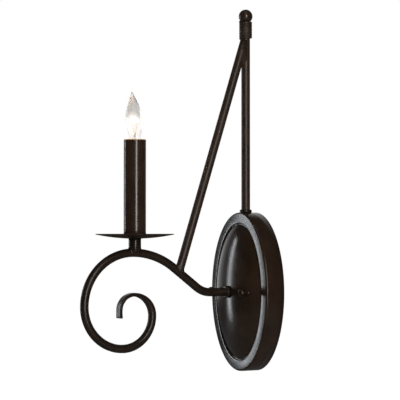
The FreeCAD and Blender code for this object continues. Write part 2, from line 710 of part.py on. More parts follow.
def make_arm_fixings():
    """Collar in front of the plate; hollow nipple, washer and nut behind it."""
    keep(rounded_ring("arm_collar", "arm_diameter + 2 * slip", turn=OUTWARD,
                      reach="dome_apex"))
    rod = cylinder("arm_nipple_rod", "nipple_diameter", "dome_apex + nipple_grip - nipple_end",
                   turn=OUTWARD, reach="nipple_end")
    bore = cylinder("arm_nipple_bore", "nipple_bore", "2 * dome_apex", turn=OUTWARD)
    keep(cut("arm_nipple", rod, bore))
    clear = cylinder("arm_fixing_bore", "nipple_diameter + 2 * slip", "2 * dome_apex",
                     turn=OUTWARD)
    disc = cylinder("arm_washer_disc", "washer_diameter", "washer_thickness", turn=OUTWARD,
                    reach="washer_seat - washer_thickness")
    keep(cut("arm_washer", disc, clear))
    nut = hexagon("arm_nut_blank", "nut_diameter", "nut_thickness", turn=OUTWARD,
                  reach="washer_seat - washer_thickness - nut_thickness")
    keep(cut("arm_lock_nut", nut, clear))


# ---- mast and brace -------------------------------------------------------------------------

def make_mast(plate_block):
    """Upright rod on the plate's top edge, with its collar, screw, washer and ball."""
    rod = cylinder("mast_bar", "mast_diameter", "mast_top - plate_top",
                   reach="mast_reach", height="plate_top")
    spigot = cylinder("mast_spigot", "spigot_diameter", "mast_top - plate_top + spigot_length",
                      reach="mast_reach", height="plate_top")
    tapped = cylinder("mast_tapping", "mast_screw_diameter + 2 * slip", "2 * mast_screw_grip",
                      reach="mast_reach",
                      height=f"plate_top - mast_screw_grip + {EXTRA}")
    mast = keep(cut("mast_rod", fuse("mast_blank", rod, spigot), tapped))
    globe = ball("finial_globe", "finial_diameter", reach="mast_reach", height="finial_height")
    keep(cut("finial_ball", globe, mast))
    ring = rounded_ring("mast_ring", "mast_diameter + 2 * slip", reach="mast_reach",
                        height="plate_top - plate_sheet / 2")
    keep(cut("mast_collar", ring, plate_block))
    under_washer = "mast_washer_top - mast_washer_thickness"
    shank = cylinder("mast_screw_shank", "mast_screw_diameter",
                     f"plate_top + mast_screw_grip - ({under_washer})",
                     reach="mast_reach", height=under_washer)
    head = cylinder("mast_screw_head", "mast_head_diameter", "mast_head_thickness",
                    reach="mast_reach", height=f"{under_washer} - mast_head_thickness")
    keep(fuse("mast_screw", shank, head))
    disc = cylinder("mast_washer_disc", "mast_washer_diameter", "mast_washer_thickness",
                    reach="mast_reach", height=under_washer)
    clear = cylinder("mast_washer_bore", "mast_screw_diameter + 2 * slip", "plate_height",
                     reach="mast_reach")
    keep(cut("mast_washer", disc, clear))
    return mast


def make_brace(mast, arm_solid):
    """Slanting rod, coped to the mast and to the arm, cut level under the binding wire."""
    document.recompute()
    angle = math.radians(value("brace_angle"))
    top = Vector(0, -value("mast_reach"), value("brace_height"))
    downward = Vector(0, -math.sin(angle), -math.cos(angle))
    axis = Part.makeLine(top, top + downward * 2 * value("brace_height"))
    foot = axis.distToShape(Part.Wire(round_arm_route().edges))[1][0][0]
    rod = Part.makeCylinder(value("brace_diameter") / 2, (top - foot).Length, foot,
                            downward * -1)
    span = 4 * value("brace_diameter")
    above = Part.makeBox(span, 2 * span, span,
                         Vector(-span / 2, top.y - span, value("brace_top")))
    coped = rod.cut([mast.Shape, arm_solid, above])
    keep(shaped("brace_rod", max(coped.Solids, key=lambda solid: solid.Volume)))


def biarc(start, start_heading, end, end_heading):
    """Two tangent arcs from one point and direction to another."""
    chord = end - start
    headings = start_heading + end_heading
    slack = 2 * (1 - start_heading.dot(end_heading))
    along = chord.dot(headings)
    reach = (math.sqrt(along ** 2 + slack * chord.dot(chord)) - along) / slack
    corners = (start + start_heading * reach, end - end_heading * reach)
    joint = (corners[0] + corners[1]) / 2
    edges = []
    for here, corner, there in ((start, corners[0], joint), (joint, corners[1], end)):
        middle = (here + there) / 2
        lift = corner - middle
        half = (there - here).Length / 2
        half_turn = math.atan2(lift.Length, half)
        crest = middle + lift.normalize() * half * math.tan(half_turn / 2)
        edges.append(Part.Arc(here, crest, there).toShape())
    return edges


def make_wire_wrap():
    """Round wire wound on the mast's top: one unbroken coil with short straight ends."""
    radius = value("wrap_radius")
    pitch = value("wrap_pitch")
    turns = value("wrap_turns")
    wire_diameter = value("wrap_wire")
    centre = Vector(0, -value("mast_reach"), value("wrap_bottom"))
    slope = pitch / math.tau

    def point(turn):
        angle = math.radians(value("wrap_start")) + math.tau * turn
        return centre + Vector(radius * math.cos(angle), radius * math.sin(angle), pitch * turn)

    def heading(turn):
        angle = math.radians(value("wrap_start")) + math.tau * turn
        return Vector(-radius * math.sin(angle), radius * math.cos(angle), slope).normalize()

    quarters = round(4 * turns)
    stops = [turns * number / quarters for number in range(quarters + 1)]
    lower_end = point(0) - heading(0) * wire_diameter
    upper_end = point(turns) + heading(turns) * wire_diameter
    edges = [Part.makeLine(lower_end, point(0))]
    for here, there in zip(stops, stops[1:]):
        edges += biarc(point(here), heading(here), point(there), heading(there))
    edges.append(Part.makeLine(point(turns), upper_end))
    line = Part.Wire(edges)
    coil = tube("wire_wrap", line, lower_end, heading(0), wire_diameter)
    samples = line.discretize(Number=50 * quarters)
    half_turn = round(len(samples) / turns / 2)
    least = min(here.distanceToPoint(there) for number, here in enumerate(samples)
                for there in samples[number + half_turn:])
    print(f"wire_wrap: least gap between turns {least - wire_diameter:.3f} mm")
    keep(shaped("wire_wrap", coil))


# ---- candle ---------------------------------------------------------------------------------

def make_candle_stem(arm_solid):
    """Short tube, saddled over the arm's crown, tapped at the top for the nipple."""
    lowest = "crown_height + arm_diameter / 2 - saddle_depth"
    outer = cylinder("stem_outer", "stem_diameter", f"pan_height - ({lowest})",
                     reach="candle_reach", height=lowest)
    bore = cylinder("stem_bore_tool", "stem_bore",
                    "pan_height - stem_thread_depth - crown_height",
                    reach="candle_reach", height="crown_height")
    thread = cylinder("stem_thread_tool", "nipple_diameter + 2 * slip",
                      "4 * stem_thread_depth", reach="candle_reach",
                      height="pan_height - 2 * stem_thread_depth")
    keep(cut("candle_stem", outer, shaped("arm_solid", arm_solid), bore, thread))


def make_drip_pan():
    """Shallow spun dish with a flat seat in the middle."""
    centre = {"reach": "candle_reach", "height": "pan_height + pan_curve"}
    outer = ball("pan_outer", "2 * pan_curve", **centre)
    inner = ball("pan_inner", "2 * (pan_curve - pan_sheet)", **centre)
    disc = cylinder("pan_disc", "pan_diameter", "pan_rise + 4 * pan_sheet",
                    reach="candle_reach", height="pan_height - pan_sheet")
    dish = common("pan_dish", cut("pan_skin", outer, inner), disc)
    boss = cylinder("pan_boss", "stem_diameter", "pan_seat_height", reach="candle_reach",
                    height="pan_height")
    pillar = cylinder("pan_seat_pillar", "pan_seat_diameter", "pan_seat_height + pan_sheet",
                      reach="candle_reach", height="pan_height - pan_sheet")
    hole = cylinder("pan_hole", "nipple_diameter + 2 * slip", "6 * pan_seat_height",
                    reach="candle_reach", height="pan_height - 3 * pan_seat_height")
    whole = fuse("pan_whole", dish, common("pan_seat", pillar, outer), boss)
    keep(cut("drip_pan", whole, hole))


def make_stem_fixings():
    """Hollow nipple up through the pan, and the nut that clamps pan and bracket."""
    lowest = "pan_height - stem_thread_depth"
    rod = cylinder("stem_nipple_rod", "nipple_diameter", f"nipple_top - ({lowest})",
                   reach="candle_reach", height=lowest)
    bore = cylinder("stem_nipple_bore", "nipple_bore", "2 * pan_height",
                    reach="candle_reach")
    keep(cut("stem_nipple", rod, bore))
    nut = hexagon("stem_nut_blank", "nut_diameter", "nut_thickness",
                  reach="candle_reach", height="stem_nut_seat")
    clear = cylinder("stem_nut_bore", "nipple_diameter + 2 * slip", "2 * pan_height",
                     reach="candle_reach")
    keep(cut("stem_nut", nut, clear))


def make_candle_sleeve():
    """Plain metal tube that stands on the pan, loose over the socket."""
    outer = cylinder("sleeve_outer", "sleeve_diameter", "sleeve_length",
                     reach="candle_reach", height="candle_seat")
    inner = cylinder("sleeve_inner", "sleeve_diameter - 2 * sleeve_wall", "2 * sleeve_length",
                     reach="candle_reach", height="candle_seat - sleeve_length / 2")
    keep(cut("candle_sleeve", outer, inner))


def make_socket_leg():
    """Strip bent to a C: foot under the nut, upright, and a tab under the socket."""
    strip = document.addObject("PartDesign::Body", "leg_strip")
    profile = sketch_on(strip, "leg_profile", "YZ_Plane")
    front = "-candle_reach - leg_tab"
    upright = "leg_reach - candle_reach"
    draw_polygon(profile, [(front, "candle_seat"),
                           (f"{upright} + leg_thickness", "candle_seat"),
                           (f"{upright} + leg_thickness", "socket_bottom"),
                           (front, "socket_bottom"),
                           (front, "socket_bottom - leg_thickness"),
                           (upright, "socket_bottom - leg_thickness"),
                           (upright, "candle_seat + leg_thickness"),
                           (front, "candle_seat + leg_thickness")])
    pad(strip, "leg_pad", profile, "leg_width", "Symmetric")
    foot = cylinder("leg_foot", "leg_foot_diameter", "leg_thickness",
                    reach="candle_reach", height="candle_seat")
    nipple_hole = cylinder("leg_nipple_hole", "nipple_diameter + 2 * slip",
                           "4 * leg_thickness", reach="candle_reach",
                           height="candle_seat - leg_thickness")
    screw_hole = cylinder("leg_screw_hole", "leg_screw_diameter + 2 * slip",
                          "4 * leg_thickness", reach="candle_reach",
                          height="socket_bottom - 2 * leg_thickness")
    keep(cut("socket_leg", fuse("leg_whole", strip, foot), nipple_hole, screw_hole))
    under_tab = "socket_bottom - leg_thickness"
    shank = cylinder("leg_screw_shank", "leg_screw_diameter", "leg_thickness + leg_screw_grip",
                     reach="candle_reach", height=under_tab)
    head = cylinder("leg_screw_head", "leg_head_diameter", "leg_head_thickness",
                    reach="candle_reach", height=f"{under_tab} - leg_head_thickness")
    keep(fuse("socket_screw", shank, head))


def make_socket():
    """Moulded body, threaded shell pressed into it, and the centre contact on its floor."""
    shell_outside = "2 * (socket_shell_radius + socket_shell_sheet)"
    blank = cylinder("socket_blank", "socket_diameter", "socket_height",
                     reach="candle_reach", height="socket_bottom")
    bore = cylinder("socket_bore", f"{shell_outside} + 2 * slip", "socket_height",
                    reach="candle_reach", height="socket_floor_top")
    screw_hole = cylinder("socket_screw_hole", "leg_screw_diameter + 2 * slip",
                          "2 * leg_screw_grip", reach="candle_reach",
                          height=f"socket_bottom - leg_screw_grip + {EXTRA}")
    lead_holes = pair("socket_lead_holes",
                      cylinder("socket_lead_hole", "cable_diameter + 2 * slip",
                               "2 * cable_socket_grip", side="cable_socket_side",
                               reach="candle_reach",
                               height=f"socket_bottom - cable_socket_grip + {EXTRA}"))
    keep(cut("socket_body", blank, bore, screw_hole, lead_holes))
    shell = cylinder("shell_outer", shell_outside, "socket_height - socket_floor",
                     reach="candle_reach", height="socket_floor_top")
    shell_bore = cylinder("shell_inner", "2 * socket_shell_radius", "2 * socket_height",
                          reach="candle_reach", height="socket_bottom")
    keep(cut("socket_shell", shell, shell_bore))
    post = cylinder("contact_post", "contact_width / 2", "contact_height",
                    reach="candle_reach", height="socket_floor_top")
    leaf = box("contact_leaf", "contact_length", "contact_width", "socket_shell_sheet",
               side="-contact_length / 2", reach="candle_reach + contact_width / 2",
               height="socket_floor_top + contact_height - socket_shell_sheet")
    keep(fuse("socket_contact", post, leaf))


# ---- bulb -----------------------------------------------------------------------------------

# Flame outline of the glass: share of its height, of its half width and of its lean.
FLAME = [(0.00, 0.43, 0.00), (0.06, 0.51, 0.00), (0.135, 0.59, 0.00), (0.21, 0.68, 0.03),
         (0.265, 0.80, 0.07), (0.32, 0.90, 0.12), (0.37, 0.965, 0.16), (0.46, 1.00, 0.23),
         (0.585, 0.925, 0.34), (0.695, 0.775, 0.43), (0.80, 0.54, 0.55), (0.857, 0.375, 0.65),
         (0.91, 0.25, 0.78), (0.965, 0.15, 0.93), (1.00, 0.05, 1.00)]
HOLLOW_SHARE = 0.92


def flame_solid(inset, highest_share):
    """The glass's form, drawn in by the inset, up to a share of its height."""
    half_width = value("bulb_diameter") / 2
    neck = value("bulb_shoulder - bulb_neck_depth")
    rings = [(neck, FLAME[0][1] * half_width, 0)]
    rings += [(value("bulb_shoulder") + tall * value("bulb_height"), wide * half_width,
               lean * value("bulb_lean"))
              for tall, wide, lean in FLAME if tall <= highest_share]
    wires = [Part.Wire(Part.makeCircle(radius - inset,
                                       Vector(0, -value("candle_reach") - lean, height)))
             for height, radius, lean in rings]
    return Part.makeLoft(wires, True)


def make_bulb_glass():
    """Blown flame with a bent tip, open at the neck."""
    outside = flame_solid(0, 1)
    inside = flame_solid(value("bulb_glass_wall"), HOLLOW_SHARE)
    keep(shaped("bulb_glass", outside.cut(inside)))


def make_bulb_base():
    """Screw shell, black insulator and contact under the glass."""
    outer = cylinder("base_outer", "bulb_base_diameter", "bulb_base_length",
                     reach="candle_reach", height="bulb_shell_bottom")
    inner = cylinder("base_inner", "bulb_base_diameter - 2 * bulb_base_sheet",
                     "2 * bulb_base_length", reach="candle_reach",
                     height="bulb_shell_bottom - bulb_base_length / 2")
    keep(cut("bulb_base_shell", outer, inner))
    keep(cone("bulb_insulator", "bulb_tip_diameter + 2 * bulb_base_sheet",
              "bulb_base_diameter", "bulb_cone_height", reach="candle_reach",
              height="bulb_cone_bottom"))
    keep(cylinder("bulb_contact", "bulb_tip_diameter", "bulb_tip_height",
                  reach="candle_reach", height="bulb_bottom"))


def make_bulb_inside():
    """Glass mount in the neck, wires that stand in it, and the coil across their ends."""
    neck_width = f"{FLAME[0][1]} * bulb_diameter - 2 * bulb_glass_wall - 2 * slip"
    mount = cone("mount_blank", neck_width, "mount_tip_diameter",
                 "bulb_neck_depth + mount_height", reach="candle_reach",
                 height="bulb_shoulder - bulb_neck_depth")
    centre = Vector(0, -value("candle_reach"), value("bulb_shoulder"))
    half_span = value("filament_span") / 2
    ends = centre + UP * value("filament_height")
    crest = ends + UP * value("filament_arch")
    root = centre + UP * value("mount_height - mount_grip")
    thickness = value("bulb_lead_diameter")
    tops = [ends + Vector(side * half_span, 0, -value("filament_diameter")) for side in (-1, 1)]
    tops.append(crest - UP * value("filament_diameter"))
    wires = [Part.makeCylinder(thickness / 2, (top - root).Length,
                               root + Vector(side * thickness, 0, 0), top - root)
             for side, top in zip((-1, 1, 0), tops)]
    leads = keep(shaped("bulb_leads", wires[0].fuse(wires[1:]).removeSplitter()))
    keep(cut("bulb_mount", mount, leads))
    arch = Part.Arc(ends - Vector(half_span, 0, 0), crest, ends + Vector(half_span, 0, 0))
    line = Part.Wire(arch.toShape())
    keep(shaped("bulb_filament", tube("bulb_filament", line, arch.StartPoint,
                                      arch.tangent(arch.FirstParameter)[0],
                                      value("filament_diameter"))))


# ---- wires ----------------------------------------------------------------------------------

def make_lead(name, hand):
    """Insulated wire from its cap through the arm, stem and nipple to the socket."""
    start = Vector(hand * value("cable_side"), -value("nipple_end"), -value("cable_drop"))
    sideways = Vector(0, hand, 0)
    bend = value("cable_bend")
    crown = value("crown_radius") - value("cable_drop")
    last_angle = math.degrees(math.asin(
        (value("crown_reach") + bend - value("candle_reach")) / (crown + bend)))
    outward = climb(Route(start, ROOM), value("cable_drop"), last_angle)
    outward.turn(bend, 90 - last_angle, CLIMB)
    outward.run_to_height(value("nipple_top") + bend / 2)
    outward.sidestep(bend, value("cable_spread_angle"),
                     value("cable_socket_side - cable_side"), sideways)
    outward.run_to_height(value("socket_bottom + cable_socket_grip"))
    inward = Route(start, ROOM * -1)
    inward.run(value("cable_exit"))
    inward.turn(bend, 90, CLIMB)
    inward.sidestep(bend, value("cap_spread_angle"), value("cap_side - cable_side"),
                    sideways * -1)
    inward.run_to_height(value("-cap_mouth_drop - cap_grip"))
    line = Part.Wire(Part.__sortEdges__(inward.edges + outward.edges))
    keep(shaped(name, tube(name, line, inward.place, inward.heading,
                           value("cable_diameter"))))


def make_ground_wire():
    """Bare wire from under its screw's head up into its cap."""
    start = Vector(value("ground_wire_side"), -value("ground_wire_reach"),
                   -value("ground_head_diameter") / 2)
    route = Route(start, UP)
    route.run_to_height(value("ground_head_diameter"))
    route.sidestep(value("cable_bend"), value("ground_bend_angle"),
                   value("ground_cap_reach - ground_wire_reach"), Vector(1, 0, 0))
    route.run_to_height(value("ground_cap_rise + cap_grip"))
    keep(shaped("ground_wire", route_tube("ground_wire", route,
                                          value("ground_wire_diameter"))))


def connector_cap(name, mouth_down, side, reach, mouth):
    """A tapered cap with a blind hole for the wires' ends."""
    hole_length = "cap_grip + 4 * slip"
    widths = ("cap_tip_diameter", "cap_diameter")
    if mouth_down:
        shell = cone(name + "_blank", widths[1], widths[0], "cap_length",
                     side=side, reach=reach, height=mouth)
        hole = cylinder(name + "_hole", "cap_bore", f"{EXTRA} + {hole_length}",
                        side=side, reach=reach, height=f"{mouth} - {EXTRA}")
    else:
        shell = cone(name + "_blank", widths[0], widths[1], "cap_length",
                     side=side, reach=reach, height=f"{mouth} - cap_length")
        hole = cylinder(name + "_hole", "cap_bore", f"{EXTRA} + {hole_length}",
                        side=side, reach=reach, height=f"{mouth} - ({hole_length})")
    return cut(name, shell, hole)


def make_wire_nuts():
    """Caps of the hot and neutral leads, mouths up, and of the earth lead, mouth down."""
    caps = [connector_cap("hot_cap", False, "cap_side", "cap_reach", "-cap_mouth_drop"),
            connector_cap("neutral_cap", False, "-cap_side", "cap_reach", "-cap_mouth_drop"),
            connector_cap("ground_cap", True, "ground_wire_side", "ground_cap_reach",
                          "ground_cap_rise")]
    group = document.addObject("Part::Compound", "wire_nuts")
    group.Links = caps
    keep(group)


# ---- the whole sconce -----------------------------------------------------------------------

plate_block = make_canopy_shell()
make_mounting_strap()
make_plate_fixings()
arm_solid = make_scroll_arm()
make_arm_fixings()
mast = make_mast(plate_block)
make_brace(mast, arm_solid)
make_wire_wrap()
make_candle_stem(arm_solid)
make_drip_pan()
make_stem_fixings()
make_candle_sleeve()
make_socket_leg()
make_socket()
make_bulb_glass()
make_bulb_base()
make_bulb_inside()
make_lead("hot_wire", 1)
make_lead("neutral_wire", -1)
make_ground_wire()
make_wire_nuts()

document.recompute()
for thing in document.Objects:
    if "Invalid" in thing.State or "Error" in thing.State:
        raise RuntimeError(f"{thing.Name} failed: {thing.State}")
for node in nodes:
    if node.Shape.isNull() or not node.Shape.isValid():
        raise RuntimeError(node.Label + " has no valid shape")
os.makedirs("parts", exist_ok=True)
for node in nodes:
    node.Shape.exportStep(f"parts/{node.Label}.step")
print(f"{len(nodes)} pieces written")
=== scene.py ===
import math

import bmesh
import bpy
from mathutils import Matrix, Vector, noise
from mathutils.bvhtree import BVHTree


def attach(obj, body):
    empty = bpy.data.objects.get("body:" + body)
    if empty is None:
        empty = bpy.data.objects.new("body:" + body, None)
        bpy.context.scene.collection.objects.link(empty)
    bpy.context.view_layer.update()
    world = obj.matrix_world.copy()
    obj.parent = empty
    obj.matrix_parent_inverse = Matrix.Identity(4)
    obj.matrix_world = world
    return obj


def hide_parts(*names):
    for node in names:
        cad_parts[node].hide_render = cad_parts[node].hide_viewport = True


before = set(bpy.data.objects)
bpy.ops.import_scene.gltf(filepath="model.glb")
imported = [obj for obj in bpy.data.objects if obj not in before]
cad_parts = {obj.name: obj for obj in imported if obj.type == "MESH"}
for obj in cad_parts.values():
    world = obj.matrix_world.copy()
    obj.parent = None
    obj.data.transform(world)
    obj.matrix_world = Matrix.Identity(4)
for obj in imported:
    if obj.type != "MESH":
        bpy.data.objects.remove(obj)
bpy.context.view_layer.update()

# Torch sconce. Metres: +Z up, X along the wall, the wall is Y = 0 and the room lies towards -Y.
# "reach" is a distance out from the wall and "height" is Z.


# ---- Mounting strap and its steel fixings ---------------------------------------------------
# A flat bar screwed to the wall box, with the studs, lock nuts and earth screw it carries, and
# the hidden nipples, nuts, washers and bracket of the arm and candle. All are steel with a thin
# bright zinc plating, so the crystals of the zinc show as soft grey flakes.

def finish(name, **sockets):
    """A new material; its shader's sockets are set by name, with _ for a space."""
    material = bpy.data.materials.new(name)
    material.use_nodes = True
    shader = material.node_tree.nodes["Principled BSDF"]
    for socket, value in sockets.items():
        shader.inputs[socket.replace("_", " ")].default_value = value
    return material, material.node_tree, shader


def node(tree, kind, inputs=(), **settings):
    """One shader node; inputs are pairs of a socket's name and its value or its source."""
    made = tree.nodes.new(kind)
    for name, value in settings.items():
        setattr(made, name, value)
    for name, value in inputs:
        if isinstance(value, bpy.types.NodeSocket):
            tree.links.new(value, made.inputs[name])
        else:
            made.inputs[name].default_value = value
    return made


def on_piece(tree, stretch=(1, 1, 1)):
    """The piece's own coordinates, stretched for grain or drawn marks."""
    place = node(tree, "ShaderNodeTexCoord").outputs["Object"]
    return node(tree, "ShaderNodeMapping", [("Vector", place), ("Scale", stretch)]).outputs[0]


def grey(level):
    return (level, level, level)


def ramp(tree, source, stops):
    """A colour ramp between (place, colour) stops."""
    made = node(tree, "ShaderNodeValToRGB", [("Fac", source)])
    bar = made.color_ramp.elements
    while len(bar) < len(stops):
        bar.new(0.5)
    for element, (place, colour) in zip(bar, stops):
        element.position = place
        element.color = (*colour, 1)
    return made.outputs["Color"]


def bump(tree, shader, height, strength, distance):
    made = node(tree, "ShaderNodeBump", [("Height", height), ("Strength", strength),
                                         ("Distance", distance)])
    tree.links.new(made.outputs["Normal"], shader.inputs["Normal"])


def give_finish(material, *names):
    """Gives CAD nodes a finish in place of the frame's plain one."""
    for name in names:
        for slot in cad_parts[name].material_slots:
            slot.material = material


zinc, tree, shader = finish("zinc_plating", Metallic=1.0)
place = on_piece(tree)
flakes = node(tree, "ShaderNodeTexVoronoi", [("Vector", place), ("Scale", 700.0)])
haze = node(tree, "ShaderNodeTexNoise", [("Vector", place), ("Scale", 160.0), ("Detail", 4.0)])
tree.links.new(ramp(tree, flakes.outputs["Color"], [(0.1, (0.45, 0.46, 0.48)),
                                                    (0.9, (0.68, 0.69, 0.70))]),
               shader.inputs["Base Color"])
tree.links.new(ramp(tree, haze.outputs["Fac"], [(0.3, grey(0.28)), (0.7, grey(0.48))]),
               shader.inputs["Roughness"])
bump(tree, shader, haze.outputs["Fac"], 0.15, 0.0002)
give_finish(zinc, "mounting_strap", "mounting_studs", "stud_lock_nuts", "arm_nipple",
            "arm_washer", "arm_lock_nut", "mast_screw", "mast_washer", "stem_nipple",
            "stem_nut", "socket_leg", "socket_screw")

earth_green, tree, shader = finish("green_zinc", Metallic=0.8, Roughness=0.4)
spots = node(tree, "ShaderNodeTexNoise", [("Vector", on_piece(tree)), ("Scale", 300.0)])
tree.links.new(ramp(tree, spots.outputs["Fac"], [(0.3, (0.02, 0.20, 0.07)),
                                                 (0.7, (0.05, 0.32, 0.12))]),
               shader.inputs["Base Color"])
bump(tree, shader, spots.outputs["Fac"], 0.15, 0.0002)
give_finish(earth_green, "ground_screw")


# ---- Wall plate ------------------------------------------------------------------------------
# One oval of steel sheet, pressed to a deep skirt, a sloping rim and a long dome, with a narrow
# lip and groove between them. It is sprayed a near-black bronze that dries to a soft gloss, with
# a faint mottle of brown in it.

def bronze(name, gloss, sheen_level, mottle, skin, relief=0.25, tone=1.0):
    """Dark bronze paint: brown mottling, uneven gloss and a skin like fine orange peel."""
    material, tree, shader = finish(name, IOR=1.5, Specular_IOR_Level=sheen_level)
    place = on_piece(tree)
    clouds = node(tree, "ShaderNodeTexNoise", [("Vector", place), ("Scale", mottle),
                                               ("Detail", 6.0), ("Roughness", 0.6)])
    peel = node(tree, "ShaderNodeTexNoise", [("Vector", place), ("Scale", skin),
                                             ("Detail", 3.0)])
    browns = [(0.28, (0.0260, 0.0145, 0.0085)), (0.52, (0.0370, 0.0208, 0.0125)),
              (0.76, (0.0530, 0.0300, 0.0178))]
    tree.links.new(ramp(tree, clouds.outputs["Fac"],
                        [(stop, Vector(brown) * tone) for stop, brown in browns]),
                   shader.inputs["Base Color"])
    tree.links.new(ramp(tree, clouds.outputs["Fac"], [(0.3, grey(gloss)),
                                                      (0.7, grey(gloss + 0.10))]),
                   shader.inputs["Roughness"])
    bump(tree, shader, peel.outputs["Fac"], relief, 0.0002)
    return material


def new_piece(name, builder, material, body, slot, *replaced):
    """Turns a finished bmesh into a smooth piece that rides on a body of the frame."""
    bmesh.ops.remove_doubles(builder, verts=builder.verts, dist=1e-6)
    bmesh.ops.recalc_face_normals(builder, faces=builder.faces)
    for face in builder.faces:
        face.smooth = True
    mesh = bpy.data.meshes.new(name)
    builder.to_mesh(mesh)
    builder.free()
    mesh.materials.append(material)
    piece = bpy.data.objects.new(name, mesh)
    bpy.context.scene.collection.objects.link(piece)
    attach(piece, body)
    if replaced:
        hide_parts(*replaced)
    return piece


def edges_of(verts):
    return list({edge for vert in verts for edge in vert.link_edges})


def ring(builder, middle, radii, axis=(0, 0, 1), segments=64):
    """A closed oval of edges round an axis; the first radius lies along X."""
    stand = Matrix.Translation(middle) @ Vector((0, 0, 1)).rotation_difference(
        Vector(axis)).to_matrix().to_4x4() @ Matrix.Diagonal((*radii, 1, 1))
    made = bmesh.ops.create_circle(builder, segments=segments, radius=1, matrix=stand)
    return edges_of(made["verts"])


def join_rings(builder, rings):
    for here, there in zip(rings, rings[1:]):
        bmesh.ops.bridge_loops(builder, edges=here + there)


PLATE_SIDE = 0.0795
PLATE_TALL = 0.1150
SKIRT_MIDDLE = 0.0120
RIM_REACH = 0.0295
RIM_WIDTH = 0.0160
RIM_CORNER = 0.0025
RIM_FALL = 0.0005
LIP = 0.0012
GROOVE_REACH = 0.0277
DOME_SIDE = 0.06853
DOME_TALL = 0.10758
DOME_MIDDLE = 0.01392
DOME_OUT = 0.03308
DOME_TOP = math.radians(85)
NIPPLE_HOLE = 0.00505
NIPPLE_HOLE_REACH = DOME_MIDDLE + DOME_OUT * 0.997
SHEET = 0.0012
OUT = (0, -1, 0)

outer_reach = RIM_REACH - RIM_FALL
profile = [(0, 0), (0, SKIRT_MIDDLE), (0, outer_reach - RIM_CORNER)]
for step in range(1, 6):
    turn = math.radians(15 * step)
    profile.append((RIM_CORNER * (1 - math.cos(turn)),
                    outer_reach - RIM_CORNER * (1 - math.sin(turn))))
for step in range(9):
    across = step / 8
    profile.append((RIM_CORNER + (RIM_WIDTH - RIM_CORNER - LIP) * across,
                    outer_reach + RIM_FALL * math.sin(across * math.pi / 2)))
profile += [(RIM_WIDTH - 0.6 * LIP, RIM_REACH - 0.0001),
            (RIM_WIDTH - 0.15 * LIP, RIM_REACH - 0.0005),
            (RIM_WIDTH, GROOVE_REACH + 0.0002), (RIM_WIDTH + 0.0004, GROOVE_REACH)]

builder = bmesh.new()
rings = [ring(builder, (0, -reach, 0), (PLATE_SIDE - inset, PLATE_TALL - inset), OUT, 160)
         for inset, reach in profile]
foot_turn = math.asin((GROOVE_REACH - DOME_MIDDLE) / DOME_OUT)
for step in range(29):
    turn = foot_turn + (DOME_TOP - foot_turn) * step / 28
    rings.append(ring(builder, (0, -DOME_MIDDLE - DOME_OUT * math.sin(turn), 0),
                      (DOME_SIDE * math.cos(turn), DOME_TALL * math.cos(turn)), OUT, 160))
rings.append(ring(builder, (0, -NIPPLE_HOLE_REACH, 0), (NIPPLE_HOLE, NIPPLE_HOLE), OUT, 160))
join_rings(builder, rings)
plate = new_piece("wall_plate", builder, bronze("plate_bronze", 0.14, 0.44, 26.0, 1500.0, 0.08),
                  "fixture", "bronze_paint", "canopy_shell")
sheet = plate.modifiers.new("sheet", "SOLIDIFY")
sheet.thickness = SHEET
sheet.offset = -1


# ---- Round nuts ------------------------------------------------------------------------------
# Two turned brass balls with short necks, threaded on the studs to hold the plate. They are
# painted with the rest, and fingers have rubbed the paint thin, so a little brass shows.

rubbed, tree, shader = finish("rubbed_bronze", IOR=1.5, Metallic=0.6)
rub = node(tree, "ShaderNodeTexNoise", [("Vector", on_piece(tree)), ("Scale", 210.0),
                                        ("Detail", 5.0)])
tree.links.new(ramp(tree, rub.outputs["Fac"], [(0.42, (0.020, 0.013, 0.009)),
                                               (0.70, (0.120, 0.070, 0.032))]),
               shader.inputs["Base Color"])
tree.links.new(ramp(tree, rub.outputs["Fac"], [(0.4, grey(0.34)), (0.7, grey(0.22))]),
               shader.inputs["Roughness"])
bump(tree, shader, rub.outputs["Fac"], 0.2, 0.0002)
give_finish(rubbed, "ball_nuts")


# ---- Scroll arm ------------------------------------------------------------------------------
# One length of 12 mm steel tube, bent cold from the plate up the ramp, over the crown and round
# the scroll. Past the lowest point the smith has hammered it down to a thin flat end, and the
# hammer's faces still show there under a satin coat of the same bronze.

ARM_RADIUS = 0.006
CROWN_REACH = 0.2003
CROWN_HEIGHT = 0.0574
BEND_RADIUS = 0.0366
CROWN_RADIUS = 0.1079
RAMP = 37.1
DOME_APEX = 0.0470
ROUND_BENDS = [(0.0744, -90, 26), (0.0596, -90, 24)]
# Radius, turn, half thickness, half breadth and squareness at the bend's end.
HAMMERED_BENDS = [(0.0455, -90, 0.0056, 0.0062, 2.2), (0.0298, -90, 0.0027, 0.0068, 4),
                  (0.0215, -90, 0.0022, 0.0073, 7)]
HAMMERED_STEPS = 24
TIP = 0.0112
CUT_EDGE = 0.0006
SIDE = Vector((1, 0, 0))


